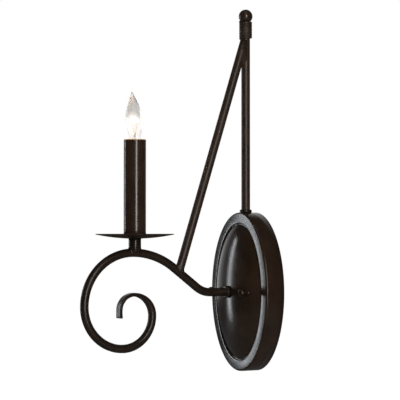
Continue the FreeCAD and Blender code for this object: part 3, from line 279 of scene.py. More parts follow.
class TubeEnd:
    """The open end of a tube that is bent on in the upright plane through the candle."""

    def __init__(self, builder, place, heading, radius, segments):
        self.builder = builder
        self.place = Vector(place)
        self.heading = Vector(heading)
        self.rim = ring(builder, place, (radius, radius), heading, segments)

    def points(self):
        return list({vert for edge in self.rim for vert in edge.verts})

    def run(self, length, steps=1):
        for _ in range(steps):
            made = bmesh.ops.extrude_edge_only(self.builder, edges=self.rim)["geom"]
            points = [item for item in made if isinstance(item, bmesh.types.BMVert)]
            bmesh.ops.translate(self.builder, verts=points, vec=self.heading * length / steps)
            self.rim = [item for item in made if isinstance(item, bmesh.types.BMEdge)
                        and all(vert in points for vert in item.verts)]
            self.place += self.heading * length / steps

    def bend(self, radius, degrees, steps=1):
        """Spins the end round a bend; the tube turns upwards for positive degrees."""
        lift = self.heading.cross(SIDE)
        centre = self.place + lift * math.copysign(radius, degrees)
        made = bmesh.ops.spin(self.builder, geom=self.points() + self.rim, cent=centre,
                              axis=-SIDE, angle=math.radians(degrees), steps=steps)
        self.rim = [item for item in made["geom_last"] if isinstance(item, bmesh.types.BMEdge)]
        turn = Matrix.Rotation(math.radians(degrees), 3, -SIDE)
        self.place = centre + turn @ (self.place - centre)
        self.heading = turn @ self.heading

    def squeeze(self, thinner, wider):
        """Scales the end: across the scroll, and along X."""
        here = Matrix.Translation(-self.place)
        across = self.heading.cross(SIDE)
        press = Matrix.Scale(thinner, 4, across) @ Matrix.Scale(wider, 4, SIDE)
        bmesh.ops.transform(self.builder, matrix=press, space=here, verts=self.points())

    def square_off(self, half_thick, half_broad, power):
        """Takes the end's oval towards a flat bar's section; power 2 is the oval."""
        across = self.heading.cross(SIDE)
        for vert in self.points():
            spoke = vert.co - self.place
            thick_part = abs(spoke.dot(across)) / half_thick
            broad_part = abs(spoke.dot(SIDE)) / half_broad
            vert.co = self.place + spoke * (thick_part ** power
                                            + broad_part ** power) ** (-1 / power)


both_bends = BEND_RADIUS + CROWN_RADIUS
rise = both_bends * (1 - math.cos(math.radians(RAMP)))
ramp_run = (CROWN_HEIGHT - rise) / math.sin(math.radians(RAMP))
bend_reach = (CROWN_REACH - both_bends * math.sin(math.radians(RAMP))
              - ramp_run * math.cos(math.radians(RAMP)))

builder = bmesh.new()
arm_end = TubeEnd(builder, (0, -DOME_APEX, 0), OUT, ARM_RADIUS, 48)
bmesh.ops.contextual_create(builder, geom=arm_end.rim)
arm_end.run(bend_reach - DOME_APEX, 6)
arm_end.bend(BEND_RADIUS, RAMP, 14)
arm_end.run(ramp_run, 8)
arm_end.bend(CROWN_RADIUS, -RAMP, 24)
for radius, degrees, steps in ROUND_BENDS:
    arm_end.bend(radius, degrees, steps)
half_thick, half_broad, squareness = ARM_RADIUS, ARM_RADIUS, 2
for radius, degrees, next_thick, next_broad, next_squareness in HAMMERED_BENDS:
    first_thick, first_broad, first_squareness = half_thick, half_broad, squareness
    for step in range(1, HAMMERED_STEPS + 1):
        share = step / HAMMERED_STEPS
        ease = 3 * share ** 2 - 2 * share ** 3
        thick = first_thick + (next_thick - first_thick) * ease
        broad = first_broad + (next_broad - first_broad) * ease
        squareness = first_squareness + (next_squareness - first_squareness) * ease
        arm_end.bend(radius, degrees / HAMMERED_STEPS)
        arm_end.squeeze(thick / half_thick, broad / half_broad)
        arm_end.square_off(thick, broad, squareness)
        half_thick, half_broad = thick, broad
arm_end.run(TIP - CUT_EDGE, 8)
arm_end.run(CUT_EDGE)
arm_end.squeeze(0.80, 0.95)
bmesh.ops.contextual_create(builder, geom=arm_end.rim)
tip_place = arm_end.place.copy()
bmesh.ops.recalc_face_normals(builder, faces=builder.faces)
builder.normal_update()

HAMMER_FACE = 0.0085
HAMMER_DEPTH = 0.00065
HAMMERED_FROM = 0.062
INNER_TURN = 0.040
for vert in builder.verts:
    near_tip = 1 - min((vert.co - tip_place).length / HAMMERED_FROM, 1)
    if near_tip and vert.co.y > tip_place.y - INNER_TURN:
        gaps, _ = noise.voronoi(vert.co / HAMMER_FACE)
        vert.co -= vert.normal * HAMMER_DEPTH * near_tip * (0.75 - gaps[0])
arm_surface = BVHTree.FromBMesh(builder)
wrought = bronze("wrought_bronze", 0.26, 0.40, 60.0, 1500.0, tone=0.7)
new_piece("bent_arm", builder, wrought, "fixture", "bronze_paint", "scroll_arm")


# ---- Collars ---------------------------------------------------------------------------------
# Two rounded steel rings: one is slid on the arm against the dome, one on the mast against the
# plate's top edge. They hide the threaded ends, and are painted with the ironwork.

give_finish(wrought, "arm_collar", "mast_collar")


# ---- Mast ------------------------------------------------------------------------------------
# Half-inch round steel bar that stands on the plate's top edge, drawn bright at the mill and
# painted, so long faint draw marks run up it.

drawn, tree, shader = finish("drawn_bar_bronze", IOR=1.5, Specular_IOR_Level=0.42)
clouds = node(tree, "ShaderNodeTexNoise", [("Vector", on_piece(tree)), ("Scale", 55.0),
                                           ("Detail", 6.0)])
marks = node(tree, "ShaderNodeTexNoise", [("Vector", on_piece(tree, (1, 1, 0.04))),
                                          ("Scale", 900.0), ("Detail", 2.0)])
tree.links.new(ramp(tree, clouds.outputs["Fac"], [(0.28, (0.0320, 0.0190, 0.0120)),
                                                  (0.52, (0.0460, 0.0275, 0.0175)),
                                                  (0.76, (0.0660, 0.0400, 0.0250))]),
               shader.inputs["Base Color"])
tree.links.new(ramp(tree, clouds.outputs["Fac"], [(0.3, grey(0.34)), (0.7, grey(0.46))]),
               shader.inputs["Roughness"])
bump(tree, shader, marks.outputs["Fac"], 0.18, 0.0002)
give_finish(drawn, "mast_rod")


# ---- Brace -----------------------------------------------------------------------------------
# A second bar slants down from the mast to the ramp of the arm. Its foot is cut to sit on the
# tube and welded all round; its head is welded to the mast and the weld is ground flush, so the
# two bars run into one smooth wedge under the binding wire.

MAST_REACH = 0.0164
BRACE_RADIUS = 0.00625
BRACE_ANGLE = math.radians(17.9)
BRACE_MEETS_MAST = 0.3716
BRACE_TOP = 0.3665
BRACE_ABOVE = 0.0120
NOTCH = 0.3280
NOTCH_ROUND = 0.0019
# Height and radius of the ground weld's sections, from the wire down.
GROUND_WELD = [(BRACE_TOP - 0.0003, 0.00627), (0.3375, 0.00623), (0.3325, 0.0050)]
FOOT_WELD = 0.0022
FOOT_DEEPEST = 0.018
WELD_SPREAD = 0.9
WELD_HOLLOW = 0.3
WELD_SINK = 0.0002


def weld_down(builder, rim, axis, surface, leg, deepest):
    """Carries a bar's lower rim down on to a surface as a small hollow-faced weld."""
    away = Vector(axis).normalized()
    middle = sum((vert.co for edge in rim for vert in edge.verts), Vector()) / (2 * len(rim))
    points = list({vert for edge in rim for vert in edge.verts})
    stages = {}
    for vert in points:
        outward = (vert.co - middle).normalized()
        _, _, _, fall = surface.ray_cast(vert.co, away)
        fall = min(fall if fall is not None else deepest, deepest)
        shoulder = vert.co + away * max(fall - leg, 0)
        toe, face, _, _ = surface.find_nearest(shoulder + (away + outward * WELD_SPREAD) * leg)
        middle_face = (shoulder + toe) / 2
        hollow = middle_face + (shoulder + away * leg - middle_face) * WELD_HOLLOW
        stages[tuple(vert.co)] = (shoulder, hollow, toe - face * WELD_SINK)
    for stage in range(3):
        made = bmesh.ops.extrude_edge_only(builder, edges=rim)["geom"]
        moved = [item for item in made if isinstance(item, bmesh.types.BMVert)]
        rim = [item for item in made if isinstance(item, bmesh.types.BMEdge)
               and all(vert in moved for vert in item.verts)]
        places = {}
        for vert in moved:
            steps = stages[tuple(vert.co)]
            vert.co = steps[stage]
            places[tuple(vert.co)] = steps
        stages = places
    bmesh.ops.contextual_create(builder, geom=rim)


down_brace = Vector((0, -math.sin(BRACE_ANGLE), -math.cos(BRACE_ANGLE)))
brace_head = Vector((0, -MAST_REACH, BRACE_MEETS_MAST))
_, _, _, brace_length = arm_surface.ray_cast(brace_head, down_brace)

builder = bmesh.new()
foot = TubeEnd(builder, brace_head - down_brace * BRACE_ABOVE, down_brace, BRACE_RADIUS, 48)
bmesh.ops.contextual_create(builder, geom=foot.rim)
foot.run(brace_length, 12)
weld_down(builder, foot.rim, down_brace, arm_surface, FOOT_WELD, FOOT_DEEPEST)
cut = bmesh.ops.bisect_plane(builder, geom=builder.verts[:] + builder.edges[:] + builder.faces[:],
                             plane_co=(0, 0, BRACE_TOP), plane_no=(0, 0, 1), clear_outer=True)
bmesh.ops.holes_fill(builder, edges=[item for item in cut["geom_cut"]
                                     if isinstance(item, bmesh.types.BMEdge)])
new_piece("slanting_brace", builder, drawn, "fixture", "bronze_paint", "brace_rod")

builder = bmesh.new()
for height, radius in GROUND_WELD:
    spread = (BRACE_MEETS_MAST - height) * math.tan(BRACE_ANGLE)
    ring(builder, (0, -MAST_REACH, height), (radius, radius), (0, 0, 1), 48)
    ring(builder, (0, -MAST_REACH - spread, height),
         (radius, radius / math.cos(BRACE_ANGLE)), (0, 0, 1), 48)
spread = (BRACE_MEETS_MAST - NOTCH) * math.tan(BRACE_ANGLE)
ring(builder, (0, -MAST_REACH - spread / 2, NOTCH), (NOTCH_ROUND, NOTCH_ROUND), (0, 0, 1), 48)
hull = bmesh.ops.convex_hull(builder, input=builder.verts)
bmesh.ops.delete(builder, geom=hull["geom_interior"] + hull["geom_unused"], context="VERTS")
new_piece("brace_weld", builder, drawn, "fixture", "bronze_paint")


# ---- Binding wire ----------------------------------------------------------------------------
# Seven turns of soft iron wire, wound tight over the weld. The paint lies thick in the grooves,
# so it almost fills them, and is mottled paler and darker.

bound, tree, shader = finish("binding_wire_bronze", IOR=1.5, Specular_IOR_Level=0.45)
place = on_piece(tree)
clouds = node(tree, "ShaderNodeTexNoise", [("Vector", place), ("Scale", 120.0),
                                           ("Detail", 6.0)])
tree.links.new(ramp(tree, clouds.outputs["Fac"], [(0.30, (0.0280, 0.0165, 0.0100)),
                                                  (0.70, (0.0620, 0.0380, 0.0230))]),
               shader.inputs["Base Color"])
tree.links.new(ramp(tree, clouds.outputs["Fac"], [(0.3, grey(0.40)), (0.7, grey(0.52))]),
               shader.inputs["Roughness"])
bump(tree, shader, clouds.outputs["Fac"], 0.3, 0.0003)
give_finish(bound, "wire_wrap")

WRAP_LOW = 0.3692
WRAP_HIGH = 0.3924
FILLED_RADIUS = 0.0092
FILLED_END_RADIUS = 0.0069
FILLED_END = 0.0003

builder = bmesh.new()
filled = [(WRAP_LOW, FILLED_END_RADIUS), (WRAP_LOW + FILLED_END, FILLED_RADIUS),
          (WRAP_HIGH - FILLED_END, FILLED_RADIUS), (WRAP_HIGH, FILLED_END_RADIUS)]
join_rings(builder, [ring(builder, (0, -MAST_REACH, height), (radius, radius))
                     for height, radius in filled])
new_piece("paint_between_turns", builder, bound, "fixture", "bronze_paint")


# ---- Ball on the mast ------------------------------------------------------------------------
# A forged steel ball, drilled and driven on the turned end of the mast. The forging has left it
# a little uneven, and the paint over it is glossy enough for small sharp lights.

BALL_RADIUS = 0.0102
BALL_HEIGHT = 0.4012
FORGED_FACE = 0.0052
FORGED_DEPTH = 0.00010

builder = bmesh.new()
bmesh.ops.create_icosphere(builder, subdivisions=5, radius=BALL_RADIUS,
                           matrix=Matrix.Translation((0, -MAST_REACH, BALL_HEIGHT)))
builder.normal_update()
for vert in builder.verts:
    gaps, _ = noise.voronoi(vert.co / FORGED_FACE)
    vert.co -= vert.normal * FORGED_DEPTH * (1 - gaps[0])
new_piece("mast_ball", builder, bronze("ball_bronze", 0.16, 0.5, 90.0, 1200.0), "fixture",
          "bronze_paint", "finial_ball")


# ---- Candle stem -----------------------------------------------------------------------------
# A short piece of wider tube, sawn to sit over the arm's crown and welded there, with the weld
# left as it ran. Its top is tapped for the nipple that holds the pan.

CANDLE_REACH = 0.1970
PAN_UNDERSIDE = 0.0770
STEM_RADIUS = 0.00885
STEM_STRAIGHT = 0.0080
STEM_WELD = 0.0024
STEM_DEEPEST = 0.0126

builder = bmesh.new()
stem = TubeEnd(builder, (0, -CANDLE_REACH, PAN_UNDERSIDE), (0, 0, -1), STEM_RADIUS, 64)
bmesh.ops.contextual_create(builder, geom=stem.rim)
stem.run(STEM_STRAIGHT, 4)
weld_down(builder, stem.rim, (0, 0, -1), arm_surface, STEM_WELD, STEM_DEEPEST)
smooth_bronze = bronze("smooth_bronze", 0.17, 0.36, 34.0, 1500.0, 0.08, tone=0.7)
new_piece("welded_stem", builder, smooth_bronze, "fixture", "bronze_paint", "candle_stem")


# ---- Drip pan --------------------------------------------------------------------------------
# A shallow dish spun from thin sheet, its edge turned over and smoothed, with a flat seat in the
# middle for the candle. Fine rings from the spinning show through the paint.

PAN_RADIUS = 0.0552
PAN_RISE = 0.0058
PAN_SHEET = 0.0012
PAN_EDGE = 0.0006
SEAT_RADIUS = 0.0172
SEAT_RISE = 0.0018
PAN_HOLE = 0.00505


def lathe(builder, outline, steps=128):
    """Spins a closed outline of (radius, height) points round the candle's axis."""
    points = [builder.verts.new((radius, -CANDLE_REACH, height)) for radius, height in outline]
    sides = [builder.edges.new(pair) for pair in zip(points, points[1:] + points[:1])]
    bmesh.ops.spin(builder, geom=points + sides, cent=(0, -CANDLE_REACH, 0), axis=(0, 0, 1),
                   angle=math.tau, steps=steps, use_merge=True)


curve = (PAN_RADIUS ** 2 + PAN_RISE ** 2) / (2 * PAN_RISE)


def dish(radius, ball_radius):
    return PAN_UNDERSIDE + curve - math.sqrt(ball_radius ** 2 - radius ** 2)


outline = [(PAN_HOLE, PAN_UNDERSIDE), (STEM_RADIUS, PAN_UNDERSIDE)]
for step in range(1, 17):
    radius = STEM_RADIUS + (PAN_RADIUS - PAN_EDGE - STEM_RADIUS) * step / 16
    outline.append((radius, dish(radius, curve)))
edge_height = dish(PAN_RADIUS - PAN_EDGE, curve) + PAN_EDGE
for degrees in (-60, -25, 10, 45, 80):
    turn = math.radians(degrees)
    outline.append((PAN_RADIUS - PAN_EDGE + PAN_EDGE * math.cos(turn),
                    edge_height + PAN_EDGE * math.sin(turn)))
for step in range(16, 0, -1):
    radius = SEAT_RADIUS + (PAN_RADIUS - 0.0010 - SEAT_RADIUS) * step / 16
    outline.append((radius, max(dish(radius, curve - PAN_SHEET),
                                PAN_UNDERSIDE + SEAT_RISE)))
outline += [(SEAT_RADIUS, PAN_UNDERSIDE + SEAT_RISE), (PAN_HOLE, PAN_UNDERSIDE + SEAT_RISE)]

builder = bmesh.new()
lathe(builder, outline)
spun, tree, shader = finish("spun_pan_bronze", IOR=1.5, Specular_IOR_Level=0.10)
clouds = node(tree, "ShaderNodeTexNoise", [("Vector", on_piece(tree)), ("Scale", 48.0),
                                           ("Detail", 6.0)])
centred = node(tree, "ShaderNodeMapping",
               [("Vector", node(tree, "ShaderNodeTexCoord").outputs["Object"]),
                ("Location", (0, CANDLE_REACH, 0))]).outputs[0]
turned = node(tree, "ShaderNodeTexWave", [("Vector", centred), ("Scale", 260.0),
                                          ("Distortion", 0.6)],
              wave_type="RINGS", rings_direction="Z")
tree.links.new(ramp(tree, clouds.outputs["Fac"], [(0.28, (0.0380, 0.0240, 0.0140)),
                                                  (0.76, (0.0680, 0.0440, 0.0260))]),
               shader.inputs["Base Color"])
tree.links.new(ramp(tree, clouds.outputs["Fac"], [(0.3, grey(0.38)), (0.7, grey(0.50))]),
               shader.inputs["Roughness"])
bump(tree, shader, turned.outputs["Fac"], 0.05, 0.00005)
new_piece("spun_pan", builder, spun, "fixture", "bronze_paint", "drip_pan")


# ---- Candle sleeve ---------------------------------------------------------------------------
# A plain steel tube that stands loose on the pan and hides the lamp socket. The paint is smooth
# and glossy; along the upper rim, by the hot lamp, a warm brass band is a painted highlight for
# the lamp's glow.

SEAT = PAN_UNDERSIDE + SEAT_RISE
SLEEVE_RADIUS = 0.01575
SLEEVE_WALL = 0.0008
SLEEVE_TOP = 0.2161

outline = [(SLEEVE_RADIUS - SLEEVE_WALL, SEAT), (SLEEVE_RADIUS - 0.0001, SEAT),
           (SLEEVE_RADIUS, SEAT + 0.0002)]
outline += [(SLEEVE_RADIUS, SEAT + (SLEEVE_TOP - SEAT) * step / 12) for step in range(1, 12)]
outline += [(SLEEVE_RADIUS, SLEEVE_TOP - 0.0012), (SLEEVE_RADIUS - 0.00012, SLEEVE_TOP - 0.0006),
            (SLEEVE_RADIUS - 0.00032, SLEEVE_TOP - 0.0002), (SLEEVE_RADIUS - 0.00055, SLEEVE_TOP),
            (SLEEVE_RADIUS - 0.0007, SLEEVE_TOP - 0.0001),
            (SLEEVE_RADIUS - SLEEVE_WALL, SLEEVE_TOP - 0.0004)]
builder = bmesh.new()
lathe(builder, outline)

glossy, tree, shader = finish("sleeve_bronze", IOR=1.5)
place = on_piece(tree)
clouds = node(tree, "ShaderNodeTexNoise", [("Vector", place), ("Scale", 40.0),
                                           ("Detail", 6.0)])
peel = node(tree, "ShaderNodeTexNoise", [("Vector", place), ("Scale", 1400.0)])
height = node(tree, "ShaderNodeSeparateXYZ", [("Vector", place)]).outputs["Z"]
# A narrow warm brass band at the very top of the rim: a painted highlight for the lamp's glow on
# the rim.
painted_rim_glow = node(tree, "ShaderNodeMapRange", [("Value", height), ("From Min", SLEEVE_TOP - 0.0014),
                                         ("From Max", SLEEVE_TOP - 0.0006)]).outputs[0]
paint = ramp(tree, clouds.outputs["Fac"], [(0.28, (0.0360, 0.0205, 0.0125)),
                                           (0.76, (0.0600, 0.0350, 0.0215))])
coat = node(tree, "ShaderNodeMix", [("Factor", painted_rim_glow)], data_type="RGBA")
tree.links.new(paint, coat.inputs["A"])
coat.inputs["B"].default_value = (0.78, 0.46, 0.16, 1)
tree.links.new(coat.outputs["Result"], shader.inputs["Base Color"])
tree.links.new(ramp(tree, clouds.outputs["Fac"], [(0.3, grey(0.16)), (0.7, grey(0.24))]),
               shader.inputs["Roughness"])
bump(tree, shader, peel.outputs["Fac"], 0.06, 0.0001)
new_piece("painted_sleeve", builder, glossy, "candle_cover", "bronze_paint", "candle_sleeve")


# ---- Lamp socket -----------------------------------------------------------------------------
# A moulded brown-black phenolic body with a rolled brass shell pressed in and a sprung brass
# contact on its floor. It is hidden inside the sleeve.

phenolic, tree, shader = finish("phenolic", IOR=1.6, Roughness=0.35)
flow = node(tree, "ShaderNodeTexNoise", [("Vector", on_piece(tree, (1, 1, 0.3))),
                                         ("Scale", 130.0), ("Detail", 5.0)])
tree.links.new(ramp(tree, flow.outputs["Fac"], [(0.3, (0.014, 0.009, 0.007)),
                                                (0.7, (0.030, 0.018, 0.012))]),
               shader.inputs["Base Color"])
bump(tree, shader, flow.outputs["Fac"], 0.15, 0.0002)
give_finish(phenolic, "socket_body")

brass, tree, shader = finish("rolled_brass", Metallic=1.0)
tarnish = node(tree, "ShaderNodeTexNoise", [("Vector", on_piece(tree)), ("Scale", 180.0),
                                            ("Detail", 5.0)])
tree.links.new(ramp(tree, tarnish.outputs["Fac"], [(0.3, (0.62, 0.40, 0.14)),
                                                   (0.7, (0.82, 0.60, 0.27))]),
               shader.inputs["Base Color"])
tree.links.new(ramp(tree, tarnish.outputs["Fac"], [(0.3, grey(0.38)), (0.7, grey(0.22))]),
               shader.inputs["Roughness"])
give_finish(brass, "socket_shell", "socket_contact")


# ---- Lamp ------------------------------------------------------------------------------------
# A clear flame lamp: glass blown thin and drawn to a bent tip, sealed on a glass mount that
# carries two lead wires and a support, with a coiled tungsten filament burning white between
# them. The base is a rolled nickel shell with a black glass insulator and a solder contact.

LAMP_SHOULDER = 0.2055
LAMP_TALL = 0.0779
LAMP_RADIUS = 0.0126
LAMP_LEAN = 0.0050
LAMP_NECK = 0.0065
GLASS_WALL = 0.0006
HOLLOW_TOP = 0.92
# Share of the glass's height, of its half width and of its lean, from the neck to the tip.
FLAME = [(0.00, 0.43, 0.00), (0.06, 0.51, 0.00), (0.135, 0.59, 0.00), (0.21, 0.68, 0.03),
         (0.265, 0.80, 0.07), (0.32, 0.90, 0.12), (0.37, 0.965, 0.16), (0.46, 1.00, 0.23),
         (0.585, 0.925, 0.34), (0.695, 0.775, 0.43), (0.80, 0.54, 0.55), (0.857, 0.375, 0.65),
         (0.91, 0.25, 0.78), (0.965, 0.15, 0.93), (1.00, 0.05, 1.00)]


def flame(builder, inset, highest):
    """The lamp's form drawn in by the inset and closed at the top; returns its lowest ring."""
    neck = ring(builder, (0, -CANDLE_REACH, LAMP_SHOULDER - LAMP_NECK),
                (FLAME[0][1] * LAMP_RADIUS - inset,) * 2, (0, 0, 1), 40)
    rings = [neck] + [ring(builder, (0, -CANDLE_REACH - lean * LAMP_LEAN,
                                     LAMP_SHOULDER + tall * LAMP_TALL),
                           (wide * LAMP_RADIUS - inset,) * 2, (0, 0, 1), 40)
                      for tall, wide, lean in FLAME if tall <= highest]
    join_rings(builder, rings)
    bmesh.ops.contextual_create(builder, geom=rings[-1])
    return neck


builder = bmesh.new()
join_rings(builder, [flame(builder, 0, 1), flame(builder, GLASS_WALL, HOLLOW_TOP)])
clear, tree, shader = finish("clear_glass", Transmission_Weight=1.0, IOR=1.25)
streaks = node(tree, "ShaderNodeTexNoise", [("Vector", on_piece(tree, (1, 1, 0.25))),
                                            ("Scale", 60.0), ("Detail", 2.0)])
tree.links.new(ramp(tree, streaks.outputs["Fac"], [(0.3, (0.975, 0.955, 0.935)),
                                                   (0.7, (0.990, 0.975, 0.960))]),
               shader.inputs["Base Color"])
tree.links.new(ramp(tree, streaks.outputs["Fac"], [(0.3, grey(0.24)), (0.7, grey(0.30))]),
               shader.inputs["Roughness"])
glass = new_piece("flame_glass", builder, clear, "bulb", "clear_glass", "bulb_glass")
rounding = glass.modifiers.new("blown", "SUBSURF")
rounding.levels = rounding.render_levels = 2
glass.visible_shadow = False

mount_glass, tree, shader = finish("mount_glass", Transmission_Weight=1.0, IOR=1.5,
                                   Roughness=0.1)
seeds = node(tree, "ShaderNodeTexNoise", [("Vector", on_piece(tree)), ("Scale", 400.0)])
tree.links.new(ramp(tree, seeds.outputs["Fac"], [(0.3, (0.80, 0.78, 0.74)),
                                                 (0.7, (0.92, 0.90, 0.86))]),
               shader.inputs["Base Color"])
give_finish(mount_glass, "bulb_mount")
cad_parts["bulb_mount"].visible_shadow = False

lead_metal, tree, shader = finish("lead_wire_metal", Metallic=1.0, Roughness=0.35)
drawn_marks = node(tree, "ShaderNodeTexNoise", [("Vector", on_piece(tree, (1, 1, 0.1))),
                                                ("Scale", 2500.0)])
tree.links.new(ramp(tree, drawn_marks.outputs["Fac"], [(0.3, (0.45, 0.38, 0.32)),
                                                       (0.7, (0.62, 0.54, 0.46))]),
               shader.inputs["Base Color"])
give_finish(lead_metal, "bulb_leads")

incandescent, tree, shader = finish("incandescent_tungsten", Emission_Strength=150.0,
                                    Roughness=0.4)
coils = node(tree, "ShaderNodeTexWave", [("Vector", on_piece(tree)), ("Scale", 1200.0)],
             bands_direction="X")
tree.links.new(ramp(tree, coils.outputs["Fac"], [(0.2, (1.0, 0.66, 0.34)),
                                                 (0.8, (1.0, 0.80, 0.54))]),
               shader.inputs["Emission Color"])
give_finish(incandescent, "bulb_filament")

nickel, tree, shader = finish("rolled_nickel", Metallic=1.0)
dulling = node(tree, "ShaderNodeTexNoise", [("Vector", on_piece(tree)), ("Scale", 200.0),
                                            ("Detail", 4.0)])
tree.links.new(ramp(tree, dulling.outputs["Fac"], [(0.3, (0.55, 0.52, 0.47)),
                                                   (0.7, (0.74, 0.71, 0.66))]),
               shader.inputs["Base Color"])
tree.links.new(ramp(tree, dulling.outputs["Fac"], [(0.3, grey(0.34)), (0.7, grey(0.20))]),
               shader.inputs["Roughness"])
give_finish(nickel, "bulb_base_shell", "bulb_contact")

black_glass, tree, shader = finish("black_glass", IOR=1.55)
swirl = node(tree, "ShaderNodeTexNoise", [("Vector", on_piece(tree)), ("Scale", 350.0)])
tree.links.new(ramp(tree, swirl.outputs["Fac"], [(0.3, (0.006, 0.005, 0.008)),
                                                 (0.7, (0.014, 0.012, 0.018))]),
               shader.inputs["Base Color"])
tree.links.new(ramp(tree, swirl.outputs["Fac"], [(0.3, grey(0.12)), (0.7, grey(0.22))]),
               shader.inputs["Roughness"])
give_finish(black_glass, "bulb_insulator")


# ---- Wires and their caps --------------------------------------------------------------------
# Two insulated leads run from the plate through the tube to the socket, and a bare copper wire
# earths the strap. The leads are held in the tube, so they keep the frame's own shape. Each ends
# in a tapered twist-on cap of ribbed plastic.

def sheath(name, dark, light):
    """Flexible plastic insulation with slight shiny creases along it."""
    material, tree, shader = finish(name, IOR=1.5)
    crease = node(tree, "ShaderNodeTexNoise", [("Vector", on_piece(tree)), ("Scale", 260.0),
                                               ("Detail", 4.0)])
    tree.links.new(ramp(tree, crease.outputs["Fac"], [(0.3, dark), (0.7, light)]),
                   shader.inputs["Base Color"])
    tree.links.new(ramp(tree, crease.outputs["Fac"], [(0.3, grey(0.38)), (0.7, grey(0.5))]),
                   shader.inputs["Roughness"])
    bump(tree, shader, crease.outputs["Fac"], 0.2, 0.0002)
    return material


give_finish(sheath("black_sheath", (0.010, 0.010, 0.011), (0.022, 0.022, 0.023)), "hot_wire")
give_finish(sheath("white_sheath", (0.66, 0.65, 0.61), (0.78, 0.77, 0.73)), "neutral_wire")
give_finish(sheath("cap_plastic", (0.62, 0.20, 0.03), (0.74, 0.27, 0.05)), "wire_nuts")

copper, tree, shader = finish("bare_copper", Metallic=1.0)
brown = node(tree, "ShaderNodeTexNoise", [("Vector", on_piece(tree)), ("Scale", 240.0),
                                          ("Detail", 4.0)])
tree.links.new(ramp(tree, brown.outputs["Fac"], [(0.3, (0.52, 0.20, 0.10)),
                                                 (0.7, (0.80, 0.38, 0.22))]),
               shader.inputs["Base Color"])
tree.links.new(ramp(tree, brown.outputs["Fac"], [(0.3, grey(0.42)), (0.7, grey(0.26))]),
               shader.inputs["Roughness"])
give_finish(copper, "ground_wire")


# ---- Floor -----------------------------------------------------------------------------------
# A plain white floor well under the sconce, which hangs in the air as it would on a wall. It is
# seen white where the light is full, keeps the soft shadow, and is clear from below.

FLOOR_HEIGHT = -0.45

builder = bmesh.new()
bmesh.ops.create_circle(builder, cap_ends=True, segments=96, radius=9,
                        matrix=Matrix.Translation((0, 0, FLOOR_HEIGHT)))
mesh = bpy.data.meshes.new("floor")
builder.to_mesh(mesh)
builder.free()
floor = bpy.data.objects.new("floor", mesh)
bpy.context.scene.collection.objects.link(floor)

floor_white, tree, shader = finish("floor_white", Roughness=0.9, Specular_IOR_Level=0.1)
dust = node(tree, "ShaderNodeTexNoise", [("Vector", on_piece(tree)), ("Scale", 3.0)])
tree.links.new(ramp(tree, dust.outputs["Fac"], [(0.3, grey(0.46)), (0.7, grey(0.50))]),
               shader.inputs["Base Color"])
seen = node(tree, "ShaderNodeLightPath")
camera_white = node(tree, "ShaderNodeEmission",
                    [("Strength", node(tree, "ShaderNodeMath",
                                       [(0, seen.outputs["Is Camera Ray"]), (1, 0.96)],
                                       operation="MULTIPLY").outputs[0])])
lit = node(tree, "ShaderNodeAddShader", [(0, shader.outputs[0]), (1, camera_white.outputs[0])])
below = node(tree, "ShaderNodeNewGeometry").outputs["Backfacing"]
clear_below = node(tree, "ShaderNodeMixShader", [(0, below), (1, lit.outputs[0])])
tree.links.new(node(tree, "ShaderNodeBsdfTransparent").outputs[0], clear_below.inputs[2])
tree.links.new(clear_below.outputs[0], tree.nodes["Material Output"].inputs["Surface"])
mesh.materials.append(floor_white)


# ---- Background and light --------------------------------------------------------------------
# A white studio background. Seen directly or through glass it is plain white; the painted metal
# sees it white straight behind, and dim in the room in front. Two tall soft boxes give the
# upright streaks of light on the tubes and the dome, and a weak one overhead fills in.

STRAIGHT_BEHIND = (-0.874, 0.485, 0.0)

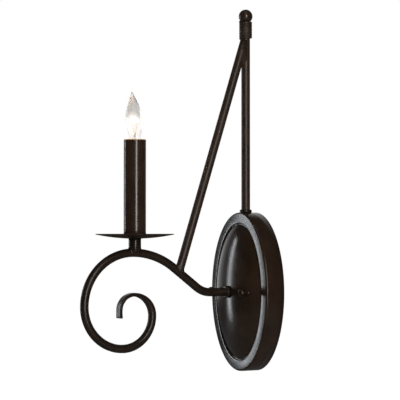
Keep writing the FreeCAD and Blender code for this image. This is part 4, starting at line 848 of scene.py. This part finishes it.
world = bpy.data.worlds.new("studio")
bpy.context.scene.world = world
world.use_nodes = True
tree = world.node_tree
background = tree.nodes["Background"]
toward = node(tree, "ShaderNodeTexCoord").outputs["Generated"]
behind = node(tree, "ShaderNodeVectorMath", [(0, toward), (1, STRAIGHT_BEHIND)],
              operation="DOT_PRODUCT").outputs["Value"]
room = node(tree, "ShaderNodeMapRange", [("Value", behind), ("From Min", 0.55),
                                         ("From Max", 1.0), ("To Min", 0.035),
                                         ("To Max", 0.80)],
            interpolation_type="SMOOTHSTEP").outputs[0]
seen = node(tree, "ShaderNodeLightPath")
direct = node(tree, "ShaderNodeMath", [(0, seen.outputs["Is Camera Ray"]),
                                       (1, seen.outputs["Transmission Depth"])],
              operation="ADD", use_clamp=True).outputs[0]
level = node(tree, "ShaderNodeMix", [("Factor", direct), ("A", room), ("B", 1.0)])
tree.links.new(level.outputs["Result"], background.inputs["Strength"])
background.inputs["Color"].default_value = (1, 1, 1, 1)

LIT_POINT = Vector((0, -0.12, 0.12))


def soft_box(name, azimuth, elevation, distance, width, tall, brightness, colour):
    """A soft box aimed at the sconce; the azimuth runs from the wall's outward normal to +X."""
    turn, lift = math.radians(azimuth), math.radians(elevation)
    away = Vector((math.sin(turn) * math.cos(lift), -math.cos(turn) * math.cos(lift),
                   math.sin(lift)))
    lamp = bpy.data.lights.new(name, "AREA")
    lamp.shape = "RECTANGLE"
    lamp.size = width
    lamp.size_y = tall
    lamp.energy = brightness * math.pi * width * tall
    lamp.color = colour
    box = bpy.data.objects.new(name, lamp)
    box.location = LIT_POINT + away * distance
    box.rotation_euler = (-away).to_track_quat("-Z", "Y").to_euler()
    box.visible_camera = False
    bpy.context.scene.collection.objects.link(box)


soft_box("front_right_box", 78, 6, 2.4, 0.50, 2.0, 9.2, (1.0, 0.97, 0.94))
soft_box("left_box", -58, 0, 2.4, 0.22, 1.6, 8.5, (0.90, 0.95, 1.0))
soft_box("overhead_box", 60, 70, 2.2, 1.0, 1.0, 0.8, (1.0, 1.0, 1.0))


# ---- Camera ----------------------------------------------------------------------------------
# A long lens that looks at the sconce from its right, 61 degrees round from the front and from
# about the height of the candle's foot.

CAMERA_PLACE = (2.00615, -1.20460, 0.08289)
CAMERA_AZIMUTH = 61
CAMERA_PITCH = 1.235

camera_data = bpy.data.cameras.new("camera")
camera_data.lens = 144
camera_data.sensor_width = 36
camera = bpy.data.objects.new("camera", camera_data)
camera.location = CAMERA_PLACE
turn, lift = math.radians(CAMERA_AZIMUTH), math.radians(CAMERA_PITCH)
looking = Vector((-math.sin(turn) * math.cos(lift), math.cos(turn) * math.cos(lift),
                  math.sin(lift)))
camera.rotation_euler = looking.to_track_quat("-Z", "Y").to_euler()
bpy.context.scene.collection.objects.link(camera)
bpy.context.scene.camera = camera
bpy.context.scene.view_settings.view_transform = "Standard"
